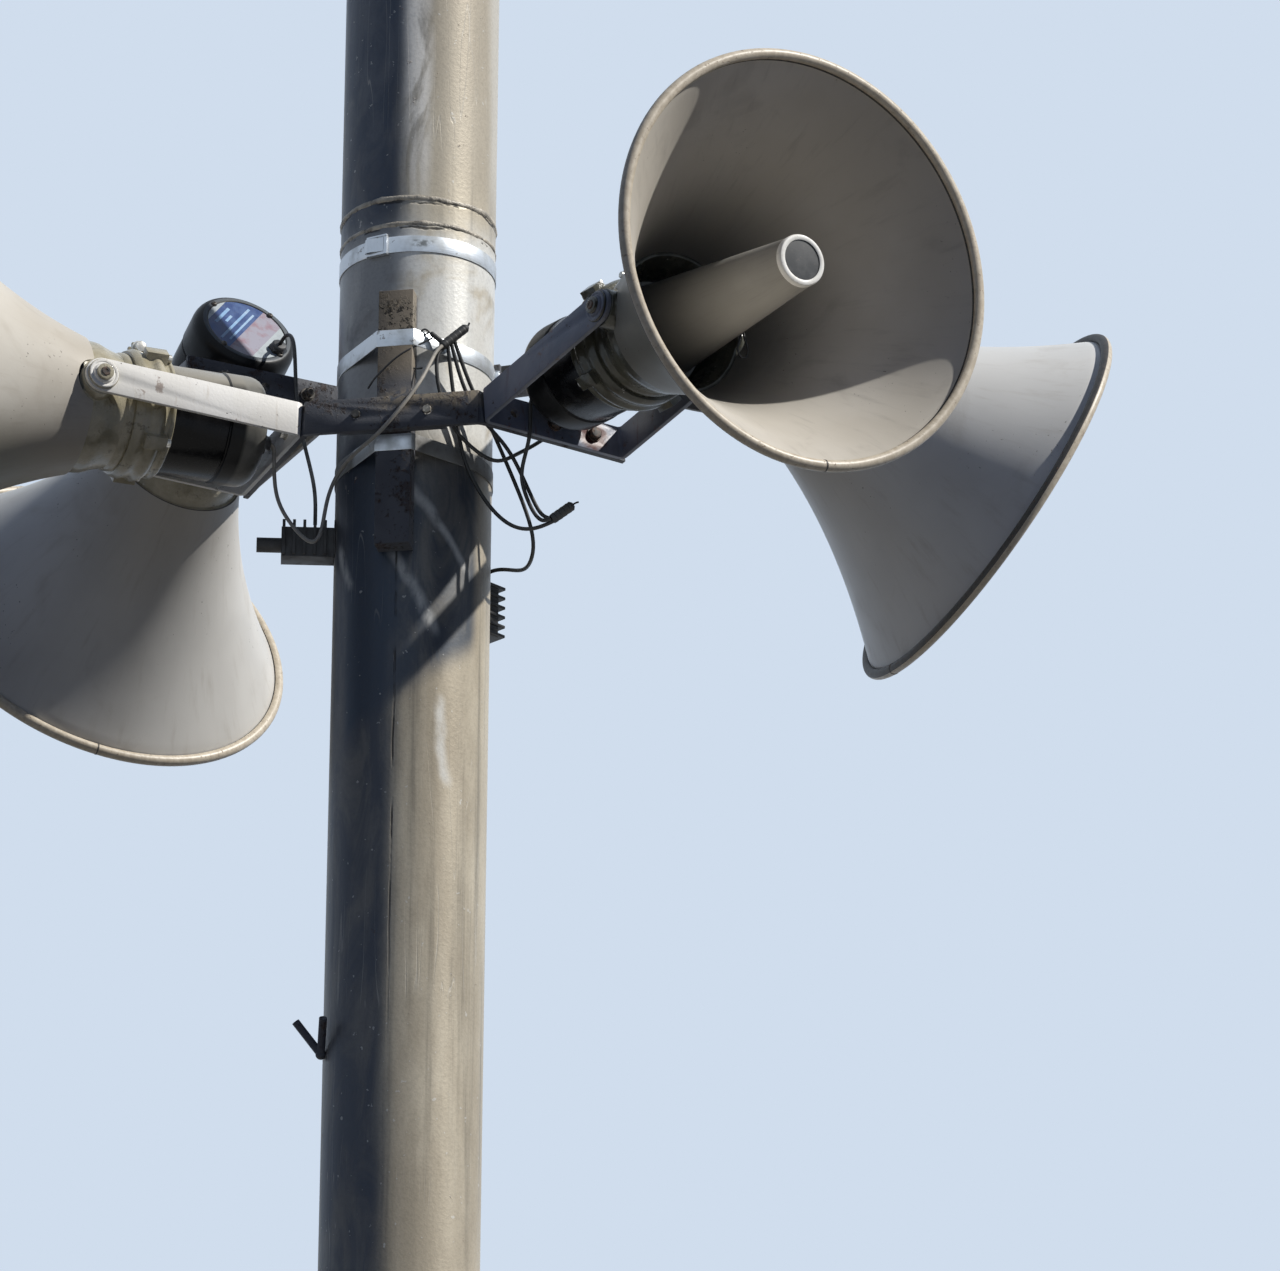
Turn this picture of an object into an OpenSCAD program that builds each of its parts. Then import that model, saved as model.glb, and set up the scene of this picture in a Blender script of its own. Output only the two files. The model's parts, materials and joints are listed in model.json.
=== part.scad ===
// Round steel pole with four horn loudspeakers in U brackets.
// Millimetres, +Z up, origin on the ground face of the base plate, on the pole's axis.
// The front is towards -Y, and the horns stand at the four corners of a bent-strip frame.

/* [Pole] */
// Outside diameter of the round pole
pole_od = 177.8; // [160:0.1:200]
// Wall of the pole tubes
pole_wall = 6; // [4:0.5:8]
// Height of the pole's top edge
pole_top = 7100; // [6400:50:7600]
// Height of the joint ring above the front strip's middle
ring_rise = 250; // [245:1:400]
// Height of the short ring that joins the two tubes
ring_h = 35; // [25:1:60]
// Width of a weld bead round the pole
bead_w = 8; // [5:1:12]
// How far a weld bead stands out
bead_out = 2.5; // [1:0.5:4]
// Depth of the cap's skirt over the pole's top
cap_skirt = 45; // [25:5:80]
// Sheet of the cap
cap_wall = 3; // [2:0.5:5]
// Rise of the cap's crown
cap_crown = 14; // [6:1:25]

/* [Base] */
// Side of the square base plate
base_side = 420; // [380:10:520]
// Thickness of the base plate
base_t = 20; // [14:1:30]
// Corner radius of the base plate
base_corner = 20; // [10:1:30]
// Distance between neighbouring anchor holes
anchor_pitch = 320; // [300:5:340]
// Diameter of an anchor hole
anchor_hole = 27; // [18:1:33]
// Height of a gusset
gusset_h = 180; // [100:10:260]
// Reach of a gusset from the pole
gusset_reach = 100; // [60:5:110]
// Thickness of a gusset
gusset_t = 10; // [6:1:16]

/* [Frame] */
// Height of the front strip's middle above the ground face
strip_z = 5400; // [4600:50:5700]
// How far the rear strip sits above the front strip
rear_rise = 137; // [100:1:160]
// Turn of the rear frame from straight behind, in degrees
rear_turn = -8; // [-12:1:8]
// Width of a mounting post
post_w = 40; // [30:1:60]
// Depth of a mounting post
post_depth = 25; // [15:1:40]
// Length of a mounting post
post_len = 312; // [300:1:340]
// Height of the front post's middle above the front strip's middle
front_post_rise = 1; // [-5:1:8]
// Height of the rear post's middle above the front strip's middle
rear_post_rise = 90; // [86:1:96]
// Width of the cross plate between post and strip
cleat_w = 122; // [100:2:140]
// Thickness of the cross plate
cleat_t = 6; // [4:1:10]
// Distance between the two bolts that hold a strip
strip_bolt_pitch = 82; // [70:2:90]
// Diameter of the strip's bolt holes
strip_hole = 11; // [8:1:14]
// Height of a strip
strip_h = 40; // [36:1:50]
// Thickness of a strip
strip_t = 6; // [5:1:8]
// Half length of the front strip's middle part
strip_half = 98; // [92:1:120]
// From the middle of the rear strip to its fold beside horn b
strip_half_b = 150; // [140:1:190]
// The same beside horn d
strip_half_d = 137; // [130:1:160]
// Length of a folded wing
wing_len = 196; // [194:2:230]
// Fold of the wing that carries horn a, in degrees
fold_a = 44; // [40:1:50]
// Fold for horn b
fold_b = 47; // [40:1:50]
// Fold for horn c
fold_c = 57; // [50:1:60]
// Fold for horn d
fold_d = 45; // [40:1:50]
// Length over which a wing is twisted, right at its fold
twist_len = 5; // [4:0.5:6]

/* [Bands] */
// Width of a stainless band
band_w = 20; // [12:1:22]
// Thickness of a band
band_t = 1; // [0.7:0.1:1.5]
// Heights of the three bands above the front strip's middle
upper_band_rise = 226; // [210:1:230]
// Middle band
middle_band_rise = 97; // [60:1:105]
// Lower band
lower_band_rise = -32; // [-46:1:-32]
// Length, width and height of a band's buckle
buckle = [26, 24, 4];

/* [Brackets] */
// Width of a U bracket over its arms
bracket_w = 190; // [186:1:210]
// Length of an arm from the wing's face to the pivot
arm_len = 240; // [235:1:270]
// Height of the flat bar
bar_h = 40; // [36:1:44]
// Thickness of the flat bar
bar_t = 5; // [4:0.5:6]
// Outside radius of the bracket's bends
bend_r = 9; // [7:1:12]
// Diameter of the pivot pin
pivot_d = 12; // [8:1:14]
// Diameter of the bracket's three bolt holes
foot_hole = 11; // [8:1:14]
// Distance between neighbouring bolt holes
foot_pitch = 53; // [40:1:60]

/* [Horn] */
// Diameter over the rolled rim of the mouth
mouth_d = 480; // [440:5:500]
// Distance from the pivot to the mouth plane
mouth_z = 270; // [250:1:290]
// Radius of the bell where it would meet the pivot plane
throat_r = 78; // [78:0.5:84]
// Slope of the bell at the pivot plane
throat_slope = 0.30; // [0.25:0.01:0.45]
// Wall of the bell
bell_wall = 2; // [1.5:0.1:3]
// Radius of the rolled rim
rim_r = 6.5; // [4:0.5:8]
// Where the bell's small end starts, ahead of the pivot
bell_start = 4; // [3:1:12]
// How far the neck's spigot reaches into the bell
spigot_len = 14; // [8:1:20]
// Diameter of the reflector's closed front
reflector_front_d = 58; // [50:1:70]
// Diameter of the reflector's open back
reflector_back_d = 105; // [90:1:115]
// How far the reflector's front lies behind the mouth plane
reflector_inset = 8; // [4:1:30]
// Wall of the reflector
reflector_wall = 2.5; // [2:0.5:4]

/* [Driver] */
// Length of the neck casting behind the pivot
neck_back = 50; // [44:1:60]
// Diameter of the neck's back end
neck_d = 135; // [132:1:140]
// Largest diameter of the neck casting
neck_max_d = 150; // [146:1:152]
// Diameter of the bosses that the bracket holds
boss_d = 44; // [38:1:48]
// Length of the clamp ring
ring_len = 48; // [40:1:56]
// Largest diameter of the clamp ring
ring_d = 150; // [144:1:156]
// Diameter of the driver's pot
driver_d = 127; // [120:1:128]
// Overall length of the driver behind the neck
driver_len = 162; // [145:1:163]
// Diameter of the driver's flat back
driver_back_d = 106; // [90:1:110]

/* [Aim] */
// Rise of each horn's axis over level, in degrees
aim_a = -4; // [-40:1:20]
// Horn b, at the right rear
aim_b = -26; // [-40:1:20]
// Horn c, at the left front
aim_c = -1; // [-40:1:20]
// Horn d, at the left rear
aim_d = -27; // [-40:1:20]
// Twist of each wing, which lifts its bracket, in degrees
lift_a = 8; // [-10:1:12]
// Wing of horn b
lift_b = 0; // [-10:1:12]
// Wing of horn c
lift_c = 3; // [-10:1:12]
// Wing of horn d
lift_d = 0; // [-10:1:12]

/* [Hidden] */
fine = 96;
round_fn = 48;
eps = 0.01;
// Clearance between curved faces that sit on each other
seat = 0.3;
pole_r = pole_od / 2;
post_back = pole_r + seat;
post_front = post_back + post_depth;
strip_mid = post_front + cleat_t + strip_t / 2;
ring_z = strip_z + ring_rise;
wing_mid = wing_len / 2;
rear_view = 180 + rear_turn;

steel_grey = [0.66, 0.65, 0.62];
rust_grey = [0.27, 0.26, 0.27];
bright_steel = [0.80, 0.82, 0.84];
pale_paint = [0.80, 0.77, 0.72];
bracket_grey = [0.74, 0.74, 0.74];
pot_black = [0.05, 0.05, 0.06];
rubber_black = [0.03, 0.03, 0.03];
lead_grey = [0.60, 0.60, 0.58];

// Tubes, ring and cap

module tube(outer_r, inner_r, h) {
  difference() {
    cylinder(r = outer_r, h = h, $fn = fine);
    translate([0, 0, -eps]) cylinder(r = inner_r, h = h + 2 * eps, $fn = fine);
  }
}

module lower_pole() {
  color(steel_grey) translate([0, 0, base_t]) tube(pole_r, pole_r - pole_wall, ring_z - base_t);
}

module upper_pole() {
  from_z = ring_z + ring_h;
  color(steel_grey) translate([0, 0, from_z]) tube(pole_r, pole_r - pole_wall, pole_top - from_z);
}

// The joint ring carries a weld bead at each of its ends
module joint_ring() {
  inner = pole_r - pole_wall;
  crown = pole_r + bead_out;
  soft = bead_w / 4;
  outline = [[inner, 0], [pole_r, 0], [crown, soft], [crown, bead_w - soft], [pole_r, bead_w],
             [pole_r, ring_h - bead_w], [crown, ring_h - bead_w + soft], [crown, ring_h - soft],
             [pole_r, ring_h], [inner, ring_h]];
  color(steel_grey) translate([0, 0, ring_z]) rotate_extrude($fn = fine) polygon(outline);
}

// A pressed cap whose skirt slips over the pole
module pole_cap() {
  inner = pole_r + seat;
  outer = inner + cap_wall;
  shoulder = outer - 10;
  outline = [[inner, -cap_skirt], [outer, -cap_skirt], [outer, 0], [shoulder, cap_crown * 0.6],
             [shoulder * 0.6, cap_crown], [0, cap_crown + 2], [0, 0], [inner, 0]];
  color(steel_grey) translate([0, 0, pole_top]) rotate_extrude($fn = fine) polygon(outline);
}

// Base

module base_plate() {
  half = base_side / 2 - base_corner;
  color(steel_grey) difference() {
    union() {
      for (turn = [0, 90])
        rotate([0, 0, turn])
          translate([-base_side / 2, -half, 0]) cube([base_side, 2 * half, base_t]);
      for (x = [-half, half], y = [-half, half])
        translate([x, y, 0]) cylinder(r = base_corner, h = base_t, $fn = round_fn);
    }
    for (x = [-1, 1], y = [-1, 1])
      translate([x * anchor_pitch / 2, y * anchor_pitch / 2, -1])
        cylinder(d = anchor_hole, h = base_t + 2, $fn = round_fn);
  }
}

module base_gussets() {
  from_r = pole_r + seat;
  nose = 12;
  outline = [[from_r - 10, 0], [from_r + gusset_reach, 0], [from_r + gusset_reach, nose],
             [from_r + nose, gusset_h], [from_r - 10, gusset_h]];
  color(steel_grey) difference() {
    for (turn = [0:90:270])
      rotate([90, 0, turn]) translate([0, base_t, -gusset_t / 2])
        linear_extrude(height = gusset_t) polygon(outline);
    translate([0, 0, base_t - 1]) cylinder(r = from_r, h = gusset_h + 2, $fn = fine);
  }
}

// Posts and strips

module cross_plate(rise) {
  translate([-cleat_w / 2, -post_front - cleat_t, strip_z + rise - strip_h / 2])
    cube([cleat_w, cleat_t, strip_h]);
}

module front_post() {
  color(rust_grey) difference() {
    union() {
      translate([-post_w / 2, -post_front, strip_z + front_post_rise - post_len / 2])
        cube([post_w, post_depth, post_len]);
      cross_plate(0);
    }
    bolt_pair(0);
  }
}

module rear_post() {
  color(rust_grey) rotate([0, 0, rear_view]) difference() {
    union() {
      translate([-post_w / 2, -post_front, strip_z + rear_post_rise - post_len / 2])
        cube([post_w, post_depth, post_len]);
      cross_plate(rear_rise);
    }
    bolt_pair(rear_rise);
  }
}

// Two holes through cross plate and strip
module bolt_pair(rise) {
  for (x = [-1, 1])
    translate([x * strip_bolt_pitch / 2, -post_front + eps, strip_z + rise])
      rotate([90, 0, 0]) cylinder(d = strip_hole, h = cleat_t + strip_t + 2, $fn = round_fn);
}

// Three holes in a row, along Y, drilled along X
module foot_holes(depth) {
  for (i = [-1, 0, 1])
    translate([-depth, i * foot_pitch, 0]) rotate([0, 90, 0])
      cylinder(d = foot_hole, h = 2 * depth, $fn = round_fn);
}

// Place of a horn: turn of its strip, side on it, distance to the fold, rise, fold, lift and aim
place_a = [0, 1, strip_half, 0, fold_a, lift_a, aim_a];
place_b = [rear_view, -1, strip_half_b, rear_rise, fold_b, lift_b, aim_b];
place_c = [0, -1, strip_half, 0, fold_c, lift_c, aim_c];
place_d = [rear_view, 1, strip_half_d, rear_rise, fold_d, lift_d, aim_d];
function turn_of(place) = place[0];
function side_of(place) = place[1];
function half_of(place) = place[2];
function rise_of(place) = place[3];
function fold_of(place) = place[4];
function lift_of(place) = place[5];
function aim_of(place) = place[6];

// Corners of a bent strip seen from above: edge is 1 on the pole's side and -1 outside
function fold_corner(place, edge) =
  [side_of(place) * (half_of(place) - edge * strip_t / 2 * tan(fold_of(place) / 2)), edge * strip_t / 2];
// The outline follows a wing to its end, or only a short stub of it where the wing is twisted
stub = 1;
function run_of(place) = lift_of(place) == 0 ? wing_len : stub;
function end_corner(place, edge) =
  let (fold = fold_of(place), run = run_of(place), t = edge * strip_t / 2)
  [side_of(place) * (half_of(place) + run * cos(fold) - t * sin(fold)), run * sin(fold) + t * cos(fold)];

// Moves children to a fold, with +X or -X running out along the wing
module at_fold(place) {
  translate([side_of(place) * half_of(place), 0, 0])
    rotate([0, 0, side_of(place) * fold_of(place)]) rotate([-lift_of(place), 0, 0]) children();
}

// The twisted part of a wing
module twisted_wing(place) {
  inset = 0.1;
  side = side_of(place);
  hull() {
    rotate([lift_of(place), 0, 0]) translate([side * stub / 2, 0, 0])
      cube([stub - inset, strip_t - inset, strip_h - inset], center = true);
    translate([side * (twist_len + stub), 0, 0])
      cube([stub, strip_t - inset, strip_h - inset], center = true);
  }
  translate([side * (twist_len + wing_len) / 2, 0, 0])
    cube([wing_len - twist_len, strip_t, strip_h], center = true);
}

module wing_holes(place) {
  translate([side_of(place) * wing_mid, 0, 0]) rotate([0, 0, 90]) foot_holes(strip_t);
}

// A strip from its left end to its right end
module strip(left, right) {
  outline = [end_corner(left, -1), fold_corner(left, -1), fold_corner(right, -1), end_corner(right, -1),
             end_corner(right, 1), fold_corner(right, 1), fold_corner(left, 1), end_corner(left, 1)];
  rise = rise_of(left);
  color(rust_grey) rotate([0, 0, turn_of(left)]) difference() {
    translate([0, -strip_mid, strip_z + rise]) difference() {
      union() {
        linear_extrude(height = strip_h, center = true) polygon(outline);
        if (lift_of(left) != 0) at_fold(left) twisted_wing(left);
        if (lift_of(right) != 0) at_fold(right) twisted_wing(right);
      }
      at_fold(left) wing_holes(left);
      at_fold(right) wing_holes(right);
    }
    bolt_pair(rise);
  }
}

module front_strip() strip(place_c, place_a);

module rear_strip() strip(place_b, place_d);

// Bands: a closed outline that wraps the pole and runs straight over the posts

// Angle of the tangent point beside a post, from the post's own direction
function lift_off(r, half, out) = atan(half / out) + acos(r / norm([half, out]));
// Corners of a post as the band meets them, in the direction of angle a
function post_corners(a, half, out) =
  [for (s = [-1, 1]) [out * cos(a) - s * half * sin(a), out * sin(a) + s * half * cos(a)]];
function arc_points(r, a0, a1) =
  let (n = ceil((a1 - a0) / 6)) [for (i = [0:n]) let (a = a0 + (a1 - a0) * i / n) [r * cos(a), r * sin(a)]];
// grow is the distance from the pole's and posts' own faces
function wrap_line(grow, over_front) =
  let (r = pole_r + grow, half = post_w / 2 + grow, out = post_front + grow,
       free = lift_off(r, half, out), front = -90, rear = 90 + rear_turn)
  over_front
    ? concat(post_corners(front, half, out), arc_points(r, front + free, rear - free),
             post_corners(rear, half, out), arc_points(r, rear + free, 360 + front - free))
    : concat(arc_points(r, rear - 360 + free, rear - free), post_corners(rear, half, out));

module band(rise, over_front, buckle_angle) {
  color(bright_steel) translate([0, 0, strip_z + rise - band_w / 2]) {
    linear_extrude(height = band_w) difference() {
      polygon(wrap_line(seat + band_t, over_front));
      polygon(wrap_line(seat, over_front));
    }
    rotate([0, 0, buckle_angle])
      translate([pole_r + seat + band_t / 2, -buckle.x / 2, (band_w - buckle.y) / 2])
        cube([buckle.z + band_t / 2, buckle.x, buckle.y]);
  }
}

module upper_band() band(upper_band_rise, false, -108);

module middle_band() band(middle_band_rise, true, 20);

module lower_band() band(lower_band_rise, true, 160);

// Cable clamps and hook

// A ribbed clamp that runs out along X from its foot on the pole, its fins standing up along Z
clamp_body = [64, 26, 36];
fin = [3.4, 32, 8];
fin_count = 6;
sleeve_d = 17;
sleeve_len = 28;
module cable_clamp() {
  pitch = (clamp_body.x - fin.x - 2) / (fin_count - 1);
  translate([0, -clamp_body.y / 2, -clamp_body.z / 2]) cube(clamp_body);
  for (i = [0:fin_count - 1])
    translate([1 + i * pitch, -fin.y / 2, -clamp_body.z / 2 + 2])
      cube([fin.x, fin.y, clamp_body.z + fin.z - 2]);
  translate([clamp_body.x - 1, 0, 0]) rotate([0, 90, 0])
    cylinder(d = sleeve_d, h = sleeve_len + 1, $fn = round_fn);
}

left_clamp_angle = 193;
left_clamp_rise = -114;
module left_cable_clamp() {
  color(rubber_black) difference() {
    translate([0, 0, strip_z + left_clamp_rise]) rotate([0, 0, left_clamp_angle])
      translate([pole_r - 4, 0, 0]) cable_clamp();
    translate([0, 0, strip_z + left_clamp_rise - clamp_body.x])
      cylinder(r = pole_r + seat, h = 2 * clamp_body.x, $fn = fine);
  }
}

right_clamp_angle = 56;
right_clamp_rise = -125;
module right_cable_clamp() {
  color(rubber_black) translate([0, 0, strip_z + right_clamp_rise])
    rotate([0, 0, right_clamp_angle])
      translate([pole_r + seat + clamp_body.z / 2, 0, 0]) rotate([0, 90, 0]) cable_clamp();
}

// A welded V of round bar that cables are laid in
hook_angle = 206;
hook_rise = -733;
hook_d = 9;
hook_len = 46;
module lower_hook() {
  color(rust_grey) difference() {
    translate([0, 0, strip_z + hook_rise]) rotate([0, 0, hook_angle])
      translate([pole_r + hook_d / 2, 0, 0]) {
        sphere(d = hook_d + 3, $fn = 32);
        rotate([0, 40, 0]) cylinder(d = hook_d, h = hook_len, $fn = 24);
        rotate([-48, 12, 0]) cylinder(d = hook_d, h = hook_len, $fn = 24);
      }
    translate([0, 0, strip_z + hook_rise - 20]) cylinder(r = pole_r + seat, h = 90, $fn = fine);
  }
}

// Moves children to the outer face of a wing's middle, with +X facing out
module at_bracket(place) {
  rotate([0, 0, turn_of(place)])
    translate([side_of(place) * half_of(place), -strip_mid, strip_z + rise_of(place)])
      rotate([0, 0, side_of(place) * fold_of(place)]) translate([side_of(place) * wing_mid, 0, 0])
        rotate([0, 0, -90]) rotate([0, -lift_of(place), 0]) translate([strip_t / 2, 0, 0]) children();
}

// Moves children to a horn's pivot, with the horn's axis along +Z, +X down and its hinge along Y
module at_pivot(place) {
  at_bracket(place) translate([arm_len, 0, 0])
    rotate([0, lift_of(place) - aim_of(place), 0]) rotate([0, 90, 0]) children();
}

// U bracket: the foot lies on the YZ plane and the arms run out along X

module bend(y_side) {
  translate([bend_r, y_side * (bracket_w / 2 - bend_r), 0]) intersection() {
    difference() {
      cylinder(r = bend_r, h = bar_h, center = true, $fn = round_fn);
      cylinder(r = bend_r - bar_t, h = bar_h + 2, center = true, $fn = round_fn);
    }
    translate([-bend_r - 1, y_side > 0 ? 0 : -bend_r - 1, -bar_h])
      cube([bend_r + 1, bend_r + 1, 2 * bar_h]);
  }
}

module u_bracket() {
  foot_half = bracket_w / 2 - bend_r;
  color(bracket_grey) difference() {
    union() {
      translate([0, -foot_half, -bar_h / 2]) cube([bar_t, 2 * foot_half, bar_h]);
      for (s = [-1, 1]) {
        bend(s);
        translate([bend_r, s * (bracket_w - bar_t) / 2 - bar_t / 2, -bar_h / 2])
          cube([arm_len - bend_r, bar_t, bar_h]);
        translate([arm_len, s * (bracket_w - bar_t) / 2, 0]) rotate([90, 0, 0])
          cylinder(d = bar_h, h = bar_t, center = true, $fn = round_fn);
      }
    }
    foot_holes(bar_t + 2);
    translate([arm_len, 0, 0]) rotate([90, 0, 0])
      cylinder(d = pivot_d + 2 * seat, h = bracket_w + 2, center = true, $fn = round_fn);
  }
}

module bracket_a() at_bracket(place_a) u_bracket();
module bracket_b() at_bracket(place_b) u_bracket();
module bracket_c() at_bracket(place_c) u_bracket();
module bracket_d() at_bracket(place_d) u_bracket();

// Horn parts, drawn with the axis along +Z, the mouth up and the pivot at the origin

rim_centre_r = mouth_d / 2 - rim_r;
rim_z = mouth_z - rim_r;
bell_curve = (rim_centre_r - 2 - throat_r - throat_slope * rim_z) / (rim_z * rim_z);
function bell_r(z) = throat_r + throat_slope * z + bell_curve * z * z;
arm_face = bracket_w / 2 - bar_t;
bell_steps = 20;

// The bell: a curved shell with a rolled rim, cut away round the two bosses
module bell() {
  zs = [for (i = [0:bell_steps]) bell_start + (rim_z - bell_start) * i / bell_steps];
  outline = concat([for (z = zs) [bell_r(z), z]],
                   [for (i = [bell_steps:-1:0]) [bell_r(zs[i]) - bell_wall, zs[i]]]);
  color(pale_paint) difference() {
    rotate_extrude($fn = fine) {
      polygon(outline);
      translate([rim_centre_r, rim_z]) circle(r = rim_r, $fn = 32);
    }
    rotate([90, 0, 0])
      cylinder(r = boss_d / 2 + 4, h = 3 * throat_r, center = true, $fn = round_fn);
  }
}

// Reflector: a tapered shell with a closed front, an inner sound tube and three legs
legs = 3;
leg_t = 7;
bowl_floor = neck_back - 20;
reflector_back = 14;
front_ring = 6;
recess = 1.6;
module reflector() {
  front_z = mouth_z - reflector_inset;
  front_r = reflector_front_d / 2;
  back_r = reflector_back_d / 2;
  soft = 5;
  w = reflector_wall;
  tube_r = 17;
  tube_end = front_z - 45;
  recess_r = front_r - front_ring;
  floor_z = front_z - recess;
  shell = [[back_r, -reflector_back], [front_r, front_z - soft], [front_r - soft / 4, front_z],
           [recess_r + 1, front_z], [recess_r, floor_z], [0, floor_z], [0, floor_z - w],
           [recess_r - w, floor_z - w], [front_r - w, front_z - soft - w], [back_r - w, -reflector_back]];
  color(pale_paint) {
    rotate_extrude($fn = fine) polygon(shell);
    translate([0, 0, -bowl_floor]) tube(tube_r, tube_r - w, bowl_floor + tube_end);
    for (i = [0:legs - 1])
      rotate([0, 0, 30 + i * 360 / legs])
        translate([tube_r - 1, -leg_t / 2, -bowl_floor])
          cube([bowl_r - tube_r, leg_t, bowl_floor - reflector_back + 2]);
  }
}

// Neck casting: a bowl behind the bell, with bosses, pins, washers and heads for the bracket
bowl_r = neck_d / 2 - 6;
throat_d = 30;
washer_d = 36;
washer_t = 2.5;
head_d = 19;
head_h = 7;
module neck() {
  spigot_end = bell_start + spigot_len;
  spigot_gap = bell_wall + seat;
  lip_r = bell_r(bell_start) - spigot_gap;
  end_r = bell_r(spigot_end) - spigot_gap;
  shoulder_r = neck_max_d / 2;
  back_r = neck_d / 2;
  solid = [[0, -neck_back], [back_r, -neck_back], [back_r, -neck_back + 8], [back_r - 2, -neck_back + 11],
           [back_r + 1, -28], [shoulder_r - 3, -19], [shoulder_r - 1, -14], [shoulder_r, -8],
           [shoulder_r, bell_start - seat], [lip_r, bell_start - seat], [end_r, spigot_end],
           [0, spigot_end]];
  cavity = [[0, -bowl_floor], [bowl_r, -bowl_floor], [shoulder_r - 7, 0], [end_r - 4, spigot_end],
            [end_r - 4, boss_d], [0, boss_d]];
  color(pale_paint) {
    difference() {
      union() {
        rotate_extrude($fn = fine) polygon(solid);
        rotate([90, 0, 0])
          cylinder(d = boss_d, h = 2 * (arm_face - seat), center = true, $fn = round_fn);
      }
      rotate_extrude($fn = fine) polygon(cavity);
      translate([0, 0, -neck_back - 1]) cylinder(d = throat_d, h = neck_back, $fn = round_fn);
    }
    for (s = [-1, 1])
      rotate([s * 90, 0, 0]) {
        translate([0, 0, arm_face - seat - 1])
          cylinder(d = pivot_d, h = bar_t + 2 * seat + 2, $fn = round_fn);
        translate([0, 0, bracket_w / 2 + seat]) cylinder(d = washer_d, h = washer_t, $fn = round_fn);
        translate([0, 0, bracket_w / 2 + seat + washer_t - eps])
          cylinder(d = head_d, h = head_h, $fn = round_fn);
      }
  }
}

// Clamp ring round the driver's front, with four lugs and a bolt through two ears on top
lug = [15, 16, 26];
ear = [16, 5, 16];
ear_gap = 8;
ear_bolt_d = 8;
module clamp_ring() {
  back = -neck_back - ring_len;
  inner = driver_d / 2 + seat;
  crest = ring_d / 2;
  front = back + ring_len;
  outline = [[inner, back], [crest - 7, back], [crest - 5.5, back + 1.5], [crest - 5.5, back + 4],
             [crest - 7.5, back + 6], [crest - 7.5, back + 10], [crest - 3, back + 14],
             [crest - 0.7, back + 17], [crest, back + 20], [crest - 0.7, back + 23],
             [crest - 3, back + 26], [crest - 3.5, back + 30], [crest - 1.6, front - 12],
             [crest - 1, front - 9], [crest - 1.6, front - 6], [crest - 4.5, front], [inner, front]];
  color(pale_paint) {
    rotate_extrude($fn = fine) polygon(outline);
    for (i = [0:3])
      rotate([0, 0, 45 + 90 * i]) translate([inner + 2, -lug.y / 2, back + 8]) cube(lug);
    translate([-ring_d / 2 - ear.x / 2 + 5, 0, back + 26]) {
      for (s = [-1, 1]) translate([0, s * (ear_gap + ear.y) / 2, 0]) cube(ear, center = true);
      translate([-1, 0, 0]) rotate([90, 0, 0])
        cylinder(d = ear_bolt_d, h = ear_gap + 2 * ear.y + 12, center = true, $fn = 24);
    }
  }
}

// Driver pot with a rounded back, and a cable gland low on one side of its flat
gland_d = 16;
gland_len = 8;
gland_down = 26;
gland_aside = 34;
cap_len = 44;
module driver(gland_side) {
  r = driver_d / 2;
  back_r = driver_back_d / 2;
  front = -neck_back;
  back = front - driver_len;
  shoulder = 16;
  dish = 1.5;
  turn = [for (a = [0:15:90]) [back_r + (r - back_r) * cos(a), back + shoulder * (1 - sin(a))]];
  seam = back + cap_len;
  outline = concat([[0, back + dish], [0, front], [r - 1, front], [r - 1, seam + 4], [r - 2.5, seam + 3],
                    [r - 2.5, seam + 1], [r, seam]], turn, [[back_r - 4, back], [back_r - 5, back + dish]]);
  color(pot_black) {
    rotate_extrude($fn = fine) polygon(outline);
    translate([gland_down, gland_side * gland_aside, back - gland_len])
      cylinder(d = gland_d, h = gland_len + 2 * dish, $fn = round_fn);
  }
}

module bell_a() at_pivot(place_a) bell();
module bell_b() at_pivot(place_b) bell();
module bell_c() at_pivot(place_c) bell();
module bell_d() at_pivot(place_d) bell();
module reflector_a() at_pivot(place_a) reflector();
module reflector_b() at_pivot(place_b) reflector();
module reflector_c() at_pivot(place_c) reflector();
module reflector_d() at_pivot(place_d) reflector();
module neck_a() at_pivot(place_a) neck();
module neck_b() at_pivot(place_b) neck();
module neck_c() at_pivot(place_c) neck();
module neck_d() at_pivot(place_d) neck();
module ring_a() at_pivot(place_a) clamp_ring();
module ring_b() at_pivot(place_b) clamp_ring();
module ring_c() at_pivot(place_c) clamp_ring();
module ring_d() at_pivot(place_d) clamp_ring();
module driver_a() at_pivot(place_a) driver(-1);
module driver_b() at_pivot(place_b) driver(1);
module driver_c() at_pivot(place_c) driver(1);
module driver_d() at_pivot(place_d) driver(-1);

// Leads, swept along hand-placed points, heights counted from the front strip's middle

lead_d_mm = 4.5;
lead_sides = 8;
function unit(v) = v / norm(v);
function heading(p, i) = unit(p[min(i + 1, len(p) - 1)] - p[max(i - 1, 0)]);
function across(p, i) =
  i == 0
    ? unit(cross(heading(p, 0), abs(heading(p, 0).z) < 0.9 ? [0, 0, 1] : [1, 0, 0]))
    : let (n = across(p, i - 1), t = heading(p, i)) unit(n - (n * t) * t);
function ring_points(p, i, r) =
  let (n = across(p, i), b = cross(heading(p, i), n))
  [for (k = [0:lead_sides - 1])
     let (a = 360 * k / lead_sides) p[i] + r * (cos(a) * n + sin(a) * b)];

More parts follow.
